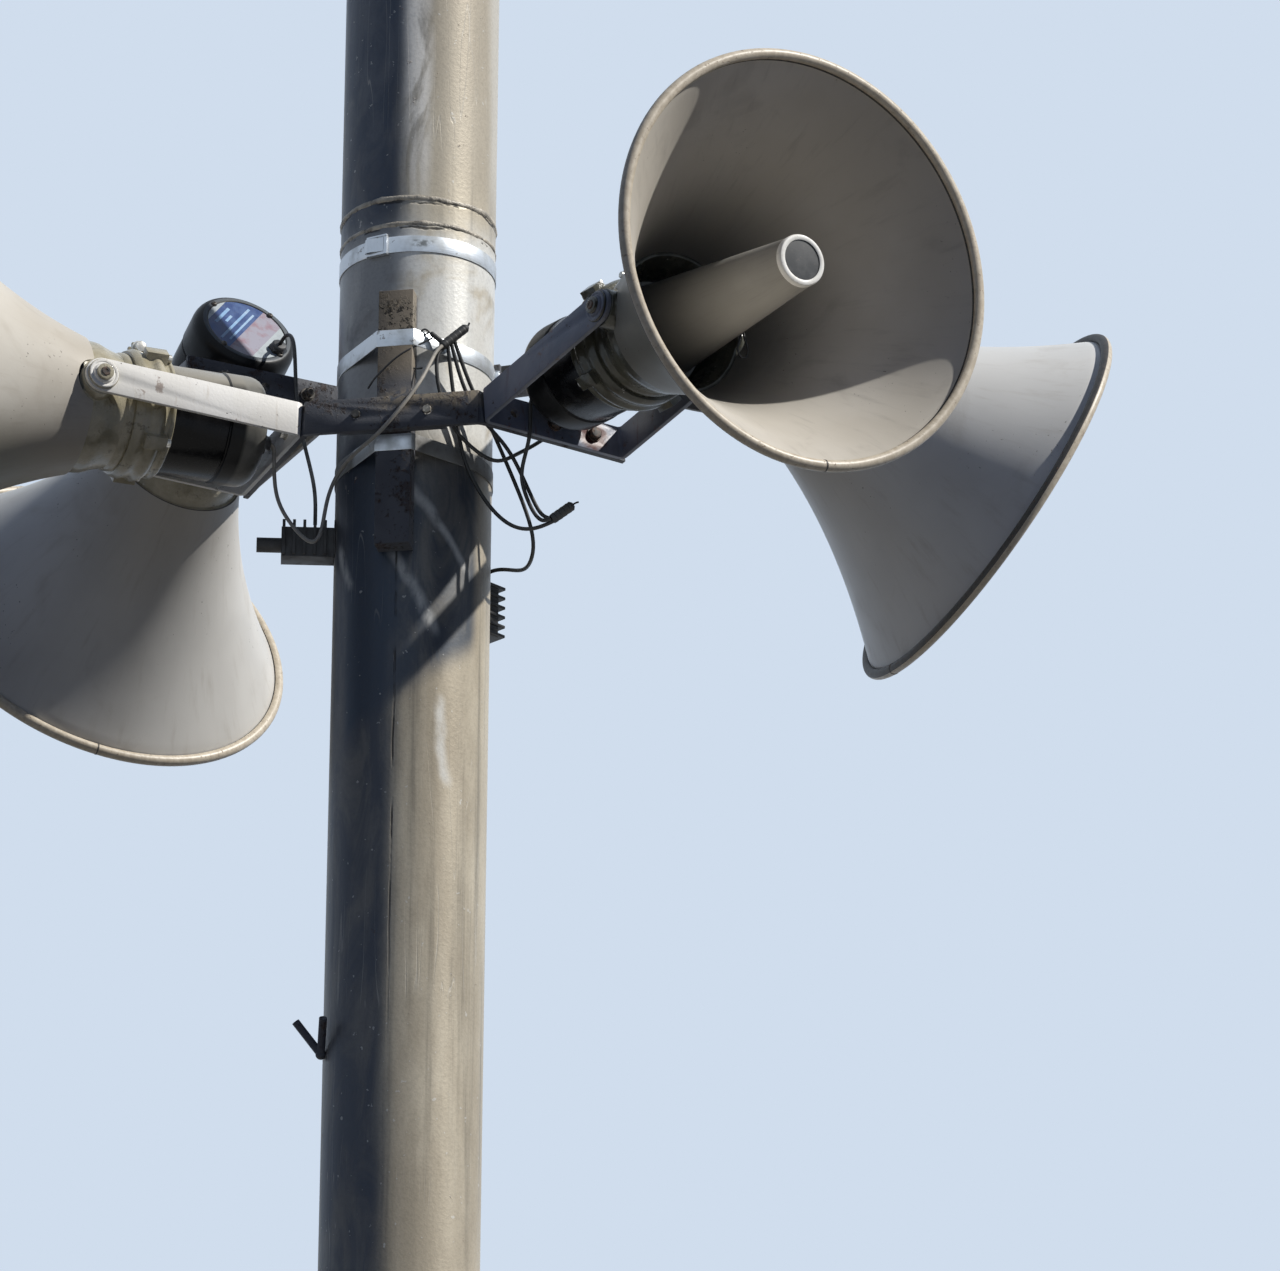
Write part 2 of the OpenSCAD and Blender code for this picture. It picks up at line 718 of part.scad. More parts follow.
module swept(path, d) {
  count = len(path);
  n = lead_sides;
  points = [for (i = [0:count - 1], q = ring_points(path, i, d / 2)) q];
  sides = [for (i = [0:count - 2], k = [0:n - 1])
             let (a = i * n + k, b = i * n + (k + 1) % n) each [[a, b + n, b], [a, a + n, b + n]]];
  ends = [[for (k = [0:n - 1]) k], [for (k = [n - 1:-1:0]) (count - 1) * n + k]];
  translate([0, 0, strip_z]) polyhedron(points = points, faces = concat(ends, sides));
}

lead_a_path = [[157.1, -92.3, 23.3], [155.9, -91.2, 23.4], [154.7, -90, 18], [154.6, -89.7, 2],
               [154.3, -89.4, -24], [144, -77, -40], [134, -64, -62], [145, -66, -92], [155, -67.5, -114],
               [163, -66.5, -121], [171.4, -65.5, -116.6]];
lead_b_path = [[229.8, 67.9, 210.3], [226.9, 65.8, 212.1], [218, 63, 211], [213, 62, 198],
               [213, 64, 150], [209, 60, 104], [192, 38, 64], [150, -26, -6], [128, -50, -28],
               [104, -48, -40], [76, -75, -22], [60, -89, -4], [46, -100, 40], [44.2, -100.2, 79.3],
               [51, -95.6, 87.4]];
lead_c_path = [[-151.1, -81.4, -9.4], [-147.7, -79.2, -9.3], [-147.5, -77, -26], [-146, -69, -64],
               [-136, -66, -90], [-118, -65, -115], [-101, -65, -131], [-91, -64, -116],
               [-88, -63, -78], [-78, -64, -48], [-58, -82, -34], [-30, -117, -32], [-10, -131.5, -25],
               [27, -131, 22], [38, -114, 56], [44.6, -104.8, 81.6], [51.4, -100.2, 89.6]];
lead_d_path = [[-190.5, 130.3, 213.9], [-188.4, 127.5, 215.7], [-181, 118, 219.5], [-172, 108, 214],
               [-165, 99, 197], [-163, 94, 158], [-158, 86, 100], [-136, 52, 30], [-116, 8, -30],
               [-108.2, -25, -78], [-108.2, -25, -87.5]];
feed_path = [[56, -93, 97], [64, -74, 10], [68, -67, -26], [78, -57, -56],
             [97, -48, -90], [124, -54, -120], [152, -60, -128], [178, -60, -116]];
second_feed_path = [[59, -91, 100], [70, -78, 50], [86, -66, 16], [112, -61, -12], [129, -56, -38],
                    [150, -57, -90], [161, -56, -112], [177, -57.5, -113.5]];
clamp_feed_path = [[62, -89.5, 104], [78, -72, 50], [94, -56, 20], [118, -38, -40],
                   [150, -36, -122], [140, -10, -146], [118, 46, -132], [88, 86, -108],
                   [66, 93, -108], [60, 90, -124.5]];

module lead_a() color(rubber_black) swept(lead_a_path, lead_d_mm);
module lead_b() color(rubber_black) swept(lead_b_path, lead_d_mm);
module lead_c() color(lead_grey) swept(lead_c_path, lead_d_mm);
module lead_d() color(rubber_black) swept(lead_d_path, lead_d_mm);

// A taped joint from one point to another, heights counted as for the leads
module taped(from, to, d) {
  run = to - from;
  translate([from.x, from.y, from.z + strip_z])
    rotate([0, acos(run.z / norm(run)), atan2(run.y, run.x)]) {
      cylinder(d = d, h = norm(run) - d / 2, $fn = 24);
      translate([0, 0, norm(run) - d / 2 - eps]) cylinder(d1 = d, d2 = d / 2, h = d / 2, $fn = 24);
    }
}

// Three feeds between the joint above the front strip, the hanging joint and the right clamp
module joined_leads() {
  color(rubber_black) {
    swept(feed_path, lead_d_mm);
    swept(second_feed_path, lead_d_mm);
    swept(clamp_feed_path, lead_d_mm);
    taped([50, -97.5, 90], [76, -80, 121], 11);
    taped([52, -96, 95], [38, -103, 106], 6);
    taped([172, -60, -116], [197, -60, -99], 12);
  }
}

base_plate();
base_gussets();
lower_pole();
joint_ring();
upper_pole();
pole_cap();
upper_band();
middle_band();
lower_band();
front_post();
rear_post();
front_strip();
rear_strip();
left_cable_clamp();
right_cable_clamp();
lower_hook();
bracket_a();
bracket_b();
bracket_c();
bracket_d();
bell_a();
bell_b();
bell_c();
bell_d();
reflector_a();
reflector_b();
reflector_c();
reflector_d();
neck_a();
neck_b();
neck_c();
neck_d();
ring_a();
ring_b();
ring_c();
ring_d();
driver_a();
driver_b();
driver_c();
driver_d();
lead_a();
lead_b();
lead_c();
lead_d();
joined_leads();
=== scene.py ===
import json
import math
import bpy
import bmesh
from mathutils import Matrix, Vector


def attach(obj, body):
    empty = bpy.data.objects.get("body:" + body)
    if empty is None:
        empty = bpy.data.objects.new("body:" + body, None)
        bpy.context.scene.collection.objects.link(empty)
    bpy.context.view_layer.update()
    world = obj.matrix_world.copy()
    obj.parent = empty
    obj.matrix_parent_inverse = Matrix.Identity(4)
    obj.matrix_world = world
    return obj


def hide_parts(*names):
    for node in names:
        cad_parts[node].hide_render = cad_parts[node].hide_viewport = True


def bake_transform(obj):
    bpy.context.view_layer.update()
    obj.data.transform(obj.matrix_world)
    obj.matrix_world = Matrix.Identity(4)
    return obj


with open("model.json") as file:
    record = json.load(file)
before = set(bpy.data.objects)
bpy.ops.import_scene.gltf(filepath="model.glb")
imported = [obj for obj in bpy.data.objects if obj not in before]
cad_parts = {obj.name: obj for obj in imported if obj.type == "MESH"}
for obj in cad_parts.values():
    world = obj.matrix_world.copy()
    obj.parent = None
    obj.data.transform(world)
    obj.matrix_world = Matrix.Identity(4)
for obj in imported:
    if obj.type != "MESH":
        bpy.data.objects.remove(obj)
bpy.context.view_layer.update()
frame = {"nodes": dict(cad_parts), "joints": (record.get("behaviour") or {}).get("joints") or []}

mm = 0.001
stripZ = 5.4                      # height of the front strip's middle, from which the leads are counted

# the frame's own rules, repeated from the construction, in millimetres and degrees, and each horn's finish;
# a throat is painted darker as shade from one depth to another, in metres, by a strength and a tone
# dust paints horn c's bell darker underneath as shade and its driver paler on top as light, with some dust
hornCommon = {"footBolts": (-1, 1), "bell": ("C6C0B5", "D6D2C9"), "throat": (0.15, 0.0, 0.3, "9D9384"),
              "dust": 0.0, "gloss": 0.25, "paleRim": False}
horns = {
    "a": {**hornCommon, "aim": -4, "lift": 8, "gland": -1, "bracket": "creamBracket", "cast": "oliveCast",
          "footBolts": (0, 1), "throat": (0.2, 0.12, 0.8, "6A6961"), "gloss": 0.1},
    # horn b's lighter, cooler bell tone and horn d's cooler one stand partly for painted sky reflection
    "b": {**hornCommon, "aim": -26, "lift": 0, "gland": 1, "bracket": "greyBracket", "cast": "oliveCast",
          "bell": ("D8D8D6", "E6E6E4")},
    "c": {**hornCommon, "aim": -1, "lift": 3, "gland": 1, "bracket": "paleBracket", "cast": "paleCast",
          "dust": 1.0, "gloss": 0.12},
    "d": {**hornCommon, "aim": -27, "lift": 0, "gland": -1, "bracket": "greyBracket", "cast": "paleCast",
          "bell": ("CAC8C3", "DAD8D3"), "paleRim": True}}
hornSizes = {
    "mouthR": 240, "mouthZ": 270, "throatR": 78, "slope": 0.30, "wall": 2, "rimR": 6.5, "start": 4, "bossR": 26,
    "reflectorFront": 29, "reflectorBack": 52.5, "reflectorTail": 14, "reflectorSideZ": -8, "reflectorWall": 2.5,
    "inset": 8, "bowlFloor": 30, "bowlR": 61.5, "tubeR": 17, "tubeShort": 45, "legHalf": 3.5, "neckBack": 50,
    "ringLen": 48, "ringR": 75, "driverLen": 162, "driverBackR": 53, "glandDown": 26, "glandAside": 34,
    "armLen": 240, "barT": 5, "footPitch": 53, "pivotFace": 97.8, "rows": 30, "steps": 160,
    "beadFrom": -150, "beadTo": 165, "beadStep": 15, "beadCrease": -140}


# a new object in the scene, at the origin
def placed(name, data):
    piece = bpy.data.objects.new(name, data)
    bpy.context.scene.collection.objects.link(piece)
    return piece


# takes a place's own units to the frame, by where it is and its three axes
def placeOf(at, x, y, z, unit=1.0):
    return Matrix.Translation(at) @ Matrix((x, y, z)).transposed().to_4x4() @ Matrix.Scale(unit, 4)


# the camera stands at the photograph's own place and angle
camera = {"place": (1.931, -8.953, 1.363), "turn": 10.553, "pitch": 22.641, "roll": 0.462,
          "focalPixels": 8784.2, "imageWidth": 1280, "sensor": 36.0}


def addCamera():
    turn, pitch, roll = (math.radians(camera[k]) for k in ("turn", "pitch", "roll"))
    ahead = Vector((-math.sin(turn) * math.cos(pitch), math.cos(turn) * math.cos(pitch), math.sin(pitch)))
    right = Vector((math.cos(turn), math.sin(turn), 0))
    up = right.cross(ahead)
    tiltedRight = math.cos(roll) * right + math.sin(roll) * up
    tiltedUp = math.cos(roll) * up - math.sin(roll) * right
    data = bpy.data.cameras.new("photoCamera")
    data.sensor_width = camera["sensor"]
    data.sensor_fit = "HORIZONTAL"
    data.lens = camera["focalPixels"] / camera["imageWidth"] * camera["sensor"]
    data.clip_end = 100
    eye = placed("photoCamera", data)
    eye.matrix_world = placeOf(camera["place"], tiltedRight, tiltedUp, -ahead)
    bpy.context.scene.camera = eye


addCamera()
print("camera placed")


# one output socket of a node: arithmetic on it adds Math nodes
class Wire:
    def __init__(self, sheet, socket):
        self.sheet, self.socket = sheet, socket

    def math(self, operation, *values):
        return self.sheet.add("ShaderNodeMath", {"operation": operation}, values)

    def __add__(self, other):
        return self.math("ADD", self, other)

    def __sub__(self, other):
        return self.math("SUBTRACT", self, other)

    def __rsub__(self, other):
        return self.math("SUBTRACT", other, self)

    def __mul__(self, other):
        return self.math("MULTIPLY", self, other)

    def __truediv__(self, other):
        return self.math("DIVIDE", self, other)

    def __pow__(self, other):
        return self.math("POWER", self, other)

    def __abs__(self):
        return self.math("ABSOLUTE", self)

    def __neg__(self):
        return self.math("MULTIPLY", self, -1)

    __radd__ = __add__
    __rmul__ = __mul__


# a tree of nodes, of a material or of geometry
class Sheet:
    def __init__(self, tree):
        self.tree = tree
        tree.nodes.clear()

    def add(self, kind, settings=(), values=(), out=0):
        node = self.tree.nodes.new(kind)
        for key, value in dict(settings).items():
            setattr(node, key, value)
        for key, value in (values.items() if isinstance(values, dict) else enumerate(values)):
            for item in value if isinstance(value, list) else [value]:
                if isinstance(item, Wire):
                    self.tree.links.new(item.socket, node.inputs[key])
                else:
                    node.inputs[key].default_value = item
        return Wire(self, node.outputs[out]) if node.outputs else None


# a geometry tree with named inputs, each (name, kind, value); it ends in Realize Instances and Set Material
class Plan(Sheet):
    def __init__(self, name, inputs, coats=("Finish",)):
        group = bpy.data.node_groups.new(name, "GeometryNodeTree")
        super().__init__(group)
        self.coats = coats
        group.interface.new_socket("Geometry", in_out="INPUT", socket_type="NodeSocketGeometry")
        for label, kind, value in inputs + [(coat, "Material", None) for coat in coats]:
            socket = group.interface.new_socket(label, in_out="INPUT", socket_type="NodeSocket" + kind)
            if value is not None:
                socket.default_value = value
        group.interface.new_socket("Geometry", in_out="OUTPUT", socket_type="NodeSocketGeometry")
        self.entry = group.nodes.new("NodeGroupInput")

    def given(self, label):
        return Wire(self, self.entry.outputs[label])

    def attribute(self, name, kind):
        return self.add("GeometryNodeInputNamedAttribute", {"data_type": kind}, {"Name": name})

    # the first coat covers everything, the others the faces that bear their number as a mark
    def end(self, shape):
        coated = self.add("GeometryNodeRealizeInstances", {}, [shape])
        for number, coat in enumerate(self.coats):
            values = {"Geometry": coated, "Material": self.given(coat)}
            if number:
                values["Selection"] = 1 - abs(self.attribute("mark", "INT") - number)
            coated = self.add("GeometryNodeSetMaterial", {}, values)
        self.add("NodeGroupOutput", {}, [coated])

    # runs the tree on a mesh, and what cutter holds is cut away; gives a plain mesh back
    def grow(self, mesh, coats, values, cutter=None):
        seed = placed("seed", mesh)
        modifier = seed.modifiers.new("plan", "NODES")
        modifier.node_group = self.tree
        values = {**values, **{label: finishes[key] for label, key in zip(self.coats, coats)}}
        for item in self.tree.interface.items_tree:
            if item.item_type == "SOCKET" and item.in_out == "INPUT" and item.name in values:
                modifier[item.identifier] = values[item.name]
        if cutter:
            cut = seed.modifiers.new("cut", "BOOLEAN")
            cut.object, cut.operation, cut.solver = cutter, "DIFFERENCE", "EXACT"
        result = settled(seed)
        bpy.data.objects.remove(seed)
        return result


# the evaluated object as a plain mesh
def settled(piece):
    graph = bpy.context.evaluated_depsgraph_get()
    graph.update()
    return bpy.data.meshes.new_from_object(piece.evaluated_get(graph))


# a horn's pivot, its hinge, and the direction square to the hinge at an angle over the level
def hornFrame(letter, angle):
    joint = next(j for j in frame["joints"] if j["name"] == f"horn_{letter}_tilt")
    pivot, hinge, rise = Vector(joint["pos_m"]), Vector(joint["axis"]), math.radians(angle)
    level = Vector((0, 0, 1)).cross(hinge).normalized()
    return pivot, hinge, math.cos(rise) * level + math.sin(rise) * Vector((0, 0, 1))


# local millimetres to the frame: +X down, +Y along the hinge, +Z out of the mouth, zero at the pivot
def hornPlace(letter):
    pivot, hinge, ahead = hornFrame(letter, horns[letter]["aim"])
    return placeOf(pivot, ahead.cross(hinge), -hinge, ahead, mm)


# the same for a bracket: +X out along its arms, +Y along the hinge, zero on the wing's face
def bracketPlace(letter):
    pivot, hinge, out = hornFrame(letter, horns[letter]["lift"])
    return placeOf(pivot - out * hornSizes["armLen"] * mm, out, -hinge, hinge.cross(out), mm)


# millimetres from the strip's height to the frame, turned round the pole
def stripPlace(turn=0):
    return Matrix.Translation((0, 0, stripZ)) @ Matrix.Rotation(math.radians(turn), 4, "Z") @ Matrix.Scale(mm, 4)


# a colour written as it looks on the screen
def tone(code):
    parts = [int(code[i:i + 2], 16) / 255 for i in (0, 2, 4)]
    return tuple(c / 12.92 if c <= 0.04045 else ((c + 0.055) / 1.055) ** 2.4 for c in parts) + (1.0,)


# a material: texture helpers that all read Object coordinates, which are the frame's own
class Finish(Sheet):
    def __init__(self, name, letter=None):
        self.material = bpy.data.materials.new(name)
        self.material.use_nodes = True
        super().__init__(self.material.node_tree)
        self.place = self.add("ShaderNodeTexCoord", out="Object")
        if letter:                                    # metres from the horn's pivot, +Z out of its mouth
            place = hornPlace(letter)
            self.place = self.add("ShaderNodeMapping", {"vector_type": "TEXTURE"}, {
                "Vector": self.place, "Location": place.translation, "Rotation": place.normalized().to_euler()})

    def cloud(self, scale, detail, rough=0.55, at=None, twist=0.0):
        return self.add("ShaderNodeTexNoise", {}, {"Vector": at or self.place, "Scale": scale, "Detail": detail,
                                                   "Roughness": rough, "Distortion": twist})

    # a cloud with its own scale along each axis
    def drawn(self, x, y, z, detail=4.0, rough=0.6, twist=0.0, turn=(0, 0, 0)):
        at = self.add("ShaderNodeMapping", {}, {"Vector": self.place, "Scale": (x, y, z), "Rotation": turn})
        return self.cloud(1.0, detail, rough, at, twist)

    # 0 below low, 1 above high, with a soft step between
    def step(self, value, low, high):
        return self.add("ShaderNodeMapRange", {"interpolation_type": "SMOOTHSTEP"},
                        {"Value": value, "From Min": low, "From Max": high})

    # 1 where a cloud is over high, 0 where it is under low
    def spots(self, low, high, *values, **more):
        return self.step(self.cloud(*values, **more), low, high)

    # 1 along the thin lines where a cloud crosses its middle
    def hairline(self, value, width):
        return 1 - self.step(abs(value - 0.5), width * 0.3, width)

    def mix(self, mask, under, over):
        return self.add("ShaderNodeMix", {"data_type": "RGBA"}, {0: mask, 6: under, 7: over}, 2)

    def axis(self, letter):
        return self.add("ShaderNodeSeparateXYZ", {}, [self.place], letter)

    def reach(self):
        x, y = self.axis("X"), self.axis("Y")
        return (x * x + y * y) ** 0.5

    # place for streaks that run along Z on a turned shape, whatever its radius
    def lengthwise(self, stretch):
        reach = self.reach()
        return self.add("ShaderNodeCombineXYZ", {}, [self.axis("X") / reach, self.axis("Y") / reach,
                                                     self.axis("Z") * stretch])

    # radians round the pole, 0 in front and rising to the right
    def bearing(self):
        return self.add("ShaderNodeMath", {"operation": "ARCTAN2"}, [self.axis("X"), -self.axis("Y")])

    # 1 within half of centre, 0 outside, with a soft edge
    def stripe(self, value, centre, half, soft):
        return 1 - self.step(abs(value - centre), half, half + soft)

    # the finish's first two colours, and one more over what it has where the mask is 1
    def ground(self, mask, under, over):
        self.colour = self.mix(mask, tone(under), tone(over))

    def coat(self, mask, over):
        self.colour = self.mix(mask, self.colour, tone(over))

    # fixed values are the same all over, and stay on the shader's own sockets
    def paint(self, roughness, height=None, depth=0.0005, **fixed):
        values = {"Base Color": self.colour, "Roughness": roughness}
        values.update({key.replace("_", " "): value for key, value in fixed.items()})
        if height is not None:
            bump = {"Height": height, "Distance": depth, "Strength": 1.0}
            values["Normal"] = self.add("ShaderNodeBump", {}, bump)
        self.add("ShaderNodeOutputMaterial", {}, [self.add("ShaderNodeBsdfPrincipled", {}, values)])
        return self.material


# tones, and where they lie: heights in metres, bearings in radians; a wipe is (from, to, bearing, lean)
poleLook = {
    "base": "A89E8C", "lighter": "CBC2AF", "bluish": "979CA3", "grime": "595651", "chalk": "E0E0DC",
    "rust": "6B4630", "pale": "DCD9D0", "ridge": "F6F2EA", "patch": "E8E8E4", "side": "3B4657",
    "edge": "6C7889", "under": "414D5C", "streak": "BBB1A1", "above": "B3AB9C", "scratch": "C9C5BC",
    "crack": "2B2827", "grain": "4F4B46", "bluishFrom": 5.0, "bluishTo": 5.4,
    "aboveFrom": 5.62, "aboveTo": 5.78, "patchMiddle": 5.52, "patchHalf": 0.11,
    "ridgeSheenBearing": 0.16, "paleBearing": 1.65, "sideBearing": -0.6, "edgeBearing": -1.5,
    "shadowBearing": 0.2, "shadowFrom": 5.05, "shadowTo": 5.4, "shadowLean": 0.065, "cracks": (5.6475, 5.6795),
    "seamBearing": 0.01, "seamFrom": 4.62, "seamTo": 5.30, "metal": 0.15, "roughness": 0.38,
    "wipes": [(5.335, 5.235, 0.145, 8.1), (5.245, 5.15, -0.02, 5.2), (5.27, 5.215, -0.95, 4.0),
              (5.07, 4.97, 0.62, 1.6), (5.52, 5.455, 0.55, -5.0)]}


# mottled galvanised steel: cloudy pale and dull patches, streaks, wiped chalk, a dark seam, rust freckles; with
# painted shade on the side away from the sun, a painted shadow below the strip, a painted highlight on the upper
# tube and a bluish tint that partly stands for shade
def polePaint():
    f, look = Finish("polePaint"), poleLook
    height, bearing = f.axis("Z"), f.bearing()
    broad, streak, grain = f.drawn(7, 7, 2.2, 5), f.drawn(50, 50, 1.4), f.cloud(240, 3, 0.7)
    mottle = f.drawn(22, 22, 7, 5, 0.6, 0.9)
    wavy = bearing + (f.drawn(6, 6, 4, 3, 0.5) - 0.5) * 0.25
    above = f.step(height, look["aboveFrom"], look["aboveTo"])
    middle = f.stripe(height, look["patchMiddle"], look["patchHalf"], 0.05)

    f.ground(f.step(broad, 0.36, 0.62), look["base"], look["lighter"])
    # a cloudy bluish grey on the front and left between 5.0 and 5.4 m, partly painted shade for the sky's blue in
    # the shadow there
    upper = f.step(height, look["bluishFrom"], look["bluishTo"]) * f.step(bearing, 0.5, 0.0)
    f.coat(upper * f.step(broad, 0.58, 0.4) * 0.75, look["bluish"])
    f.coat(f.step(streak, 0.52, 0.72) * 0.35 * (1 - above * 0.7), look["streak"])
    f.coat(f.step(streak, 0.46, 0.26) * 0.5 * (1 - above * 0.5), look["grime"])
    f.coat(above * f.step(wavy, 0.3, 0.5) * 0.7, look["above"])
    # painted highlight: a bright stripe on the upper tube just right of the shade side, where the sun grazes,
    # partly a pale ridge in the paint
    ridge = f.stripe(wavy, look["ridgeSheenBearing"], 0.08, 0.18) * above * f.step(mottle, 0.3, 0.5)
    f.coat(ridge * 0.95, look["ridge"])
    f.coat(above * f.stripe(wavy, look["paleBearing"], 0.2, 0.25) * 0.6, look["pale"])
    patch = f.step(f.drawn(13, 13, 9, 4, 0.55, 0.8), 0.3, 0.5) * middle
    f.coat(patch * 0.9, look["patch"])
    # painted shade: the side of the pole away from the sun is painted dark blue-grey; nearer its left edge a
    # lighter blue-grey stands for painted sky reflection
    side = f.stripe(wavy, look["sideBearing"], 0.42, 0.34) * (1 - middle * 0.3)
    f.coat(side * (0.7 + f.step(mottle, 0.35, 0.6) * 0.2), look["side"])
    f.coat(f.stripe(wavy, look["edgeBearing"], 0.15, 0.3) * 0.4, look["edge"])
    # painted shadow: horn a's cast shadow on the pole below the strip, dark blue-grey, its lower edge leaning
    # round the pole
    under = f.step(height - bearing * look["shadowLean"], look["shadowFrom"], look["shadowFrom"] + 0.04)
    under = under * f.step(height, look["shadowTo"], look["shadowTo"] - 0.06)
    under = under * f.stripe(wavy, look["shadowBearing"], 0.85, 0.2)
    f.coat(under * (0.65 + f.step(mottle, 0.6, 0.4) * 0.25), look["under"])

    wobble, wiped = (f.cloud(9, 3) - 0.5) * 0.5, 0
    for start, stop, turn, lean in look["wipes"]:      # chalky strokes, each leaning round the pole as it falls
        across = bearing + wobble + (height - start) * lean
        along = f.stripe(height, (start + stop) / 2, (start - stop) / 2 - 0.01, 0.02)
        wiped = wiped + f.stripe(across, turn, 0.0, 0.13) * along
    wiped = wiped * f.step(f.drawn(40, 40, 14), 0.3, 0.55)
    f.coat(wiped * 0.75, look["chalk"])
    scratch = f.hairline(f.drawn(60, 60, 3.0, 1, 0.4, turn=(0.3, 0.2, 0)), 0.007)
    scratch = scratch * f.spots(0.52, 0.6, 5, 2)
    f.coat(scratch * 0.35, look["scratch"])

    drift = bearing + (f.cloud(9, 2) - 0.5) * 0.04
    seam = f.stripe(drift, look["seamBearing"], 0.006, 0.012) * f.spots(0.36, 0.5, 14, 3)
    seam = seam * f.step(height, look["seamFrom"], look["seamFrom"] + 0.3)
    seam = seam * f.step(height, look["seamTo"] + 0.02, look["seamTo"])
    broken = f.step(f.drawn(14, 14, 30), 0.46, 0.54)
    for edge in look["cracks"]:                        # dark lines where the tubes meet the welds
        seam = seam + f.stripe(height + (f.cloud(40, 3) - 0.5) * 0.012, edge, 0.0007, 0.0016) * broken
    f.coat(f.step(seam, 0.0, 1.0) * 0.85, look["crack"])
    rust = f.spots(0.67, 0.73, 60, 5, 0.7) * f.spots(0.46, 0.62, 5, 2)
    f.coat(rust * 0.7, look["rust"])
    f.coat(f.spots(0.70, 0.73, 120, 2, 0.6) * 0.5, look["chalk"])
    f.coat(f.step(grain, 0.4, 0.7) * 0.14, look["grain"])
    rough = look["roughness"] + f.step(streak, 0.3, 0.7) * 0.12 + rust * 0.3 + wiped * 0.2 - patch * 0.08
    bump = broad * 0.5 + grain * 0.18 + rust * 0.4 + scratch * -0.1 + seam * -0.8
    return f.paint(rough, bump, 0.0012, Metallic=look["metal"], Specular_IOR_Level=0.15)


# the weld beads keep the pole's colour, with dark cracks where they lie low
def weldMetal():
    f = Finish("weldMetal")
    lump = f.cloud(55, 5, 0.65)
    low = f.step(f.reach(), 0.0903, 0.0889)
    f.ground(f.step(lump, 0.4, 0.62), "918A7E", "BDB5A6")
    f.coat(low * f.step(lump, 0.47, 0.4) * 0.9, "2C2826")
    f.coat(f.spots(0.66, 0.72, 150, 4, 0.7) * 0.5, "6B4A36")
    return f.paint(0.45, f.cloud(380, 4) + lump, 0.0009, Metallic=0.1)


# where the bands are stained, and where the lower band is painted dark as shade: heights in metres, bearings in
# radians
bandLook = {"smearBearing": 0.27, "smearHeight": 5.6265, "bandShadeBearing": -0.22, "bandShadeTop": 5.41}


# stainless strip, with a rolled grain along it, dulled patches and a dull smear on the upper band; the lower band
# is painted dark as shade round the pole, away from its front
def stainlessBand():
    f, look = Finish("stainlessBand"), bandLook
    grain = f.drawn(30, 30, 1400, 2, 0.5)
    dull = f.spots(0.42, 0.66, 20, 4, 0.6)
    f.ground(dull, "D3D8DD", "9FA2A3")
    smear = f.stripe(f.bearing(), look["smearBearing"], 0.10, 0.06)
    smear = smear * f.stripe(f.axis("Z"), look["smearHeight"], 0.0025, 0.003)
    smear = smear * f.spots(0.3, 0.6, 160, 3)
    f.coat(smear * 0.8, "5D6264")
    f.coat(f.spots(0.63, 0.7, 90, 4, 0.7) * 0.75, "5F574E")
    # painted shade: the lower band is darkened all round except at its front, where the rest of it lies in shade
    bandShade = f.step(f.axis("Z"), look["bandShadeTop"], look["bandShadeTop"] - 0.01)
    bandShade = bandShade * f.step(abs(f.bearing() - look["bandShadeBearing"]), 0.32, 0.46)
    f.coat(bandShade * 0.85, "5A5752")
    rough = 0.3 + dull * 0.2 + grain * 0.12 + (smear + bandShade) * 0.3
    return f.paint(rough, grain, 0.00015, Metallic=0.6)


# where the steel is worn, painted sunlit and pitted, in metres: X to the right, Y away from the front
steelLook = {"wornHeight": 5.418, "wornFromX": -0.03, "topHeight": 5.43, "topY": -0.09, "pitHeight": 5.522,
             "pitFromX": -0.034}


# dark blue-grey paint that wears and rusts, for the posts and strips; the front post's top is pale and pitted;
# the strip's top edge on the right is pale, wear with painted sunlight
def rustySteel():
    f, look = Finish("rustySteel"), steelLook
    broad = f.cloud(30, 5, 0.65)
    fine = f.cloud(190, 5, 0.7)
    rust = f.step(broad * 0.6 + fine * 0.4, 0.53, 0.6)
    f.ground(f.spots(0.4, 0.6, 9, 3), "4F5158", "66686D")
    f.coat(rust * 0.45, "584538")
    f.coat(rust * f.step(fine, 0.54, 0.64) * 0.7, "2C211C")
    # pale top edge of the strip on the right: worn paint and painted sunlight where the face is turned up
    worn = f.spots(0.42, 0.58, 52, 5, 0.7, twist=0.6) * f.step(f.axis("X"), look["wornFromX"], 0.0)
    worn = worn * f.stripe(f.axis("Z"), look["wornHeight"], 0.005, 0.018)
    f.coat(worn * 0.8, "A89C88")
    topPart = f.step(f.axis("Z"), look["topHeight"], look["topHeight"] + 0.04)
    topPart = topPart * f.step(f.axis("Y"), look["topY"], look["topY"] - 0.01)
    f.coat(topPart * 0.8, "8E8474")
    pit = f.spots(0.52, 0.57, 170, 4, 0.75, twist=0.7) * f.step(f.axis("X"), look["pitFromX"], -0.02)
    pit = topPart * pit * f.stripe(f.axis("Z"), look["pitHeight"], 0.014, 0.012)
    f.coat(pit * 0.95, "211D1A")
    return f.paint(0.48 + rust * 0.3, fine * 0.6 + rust * 0.8 - pit, 0.0009, Specular_IOR_Level=0.15)


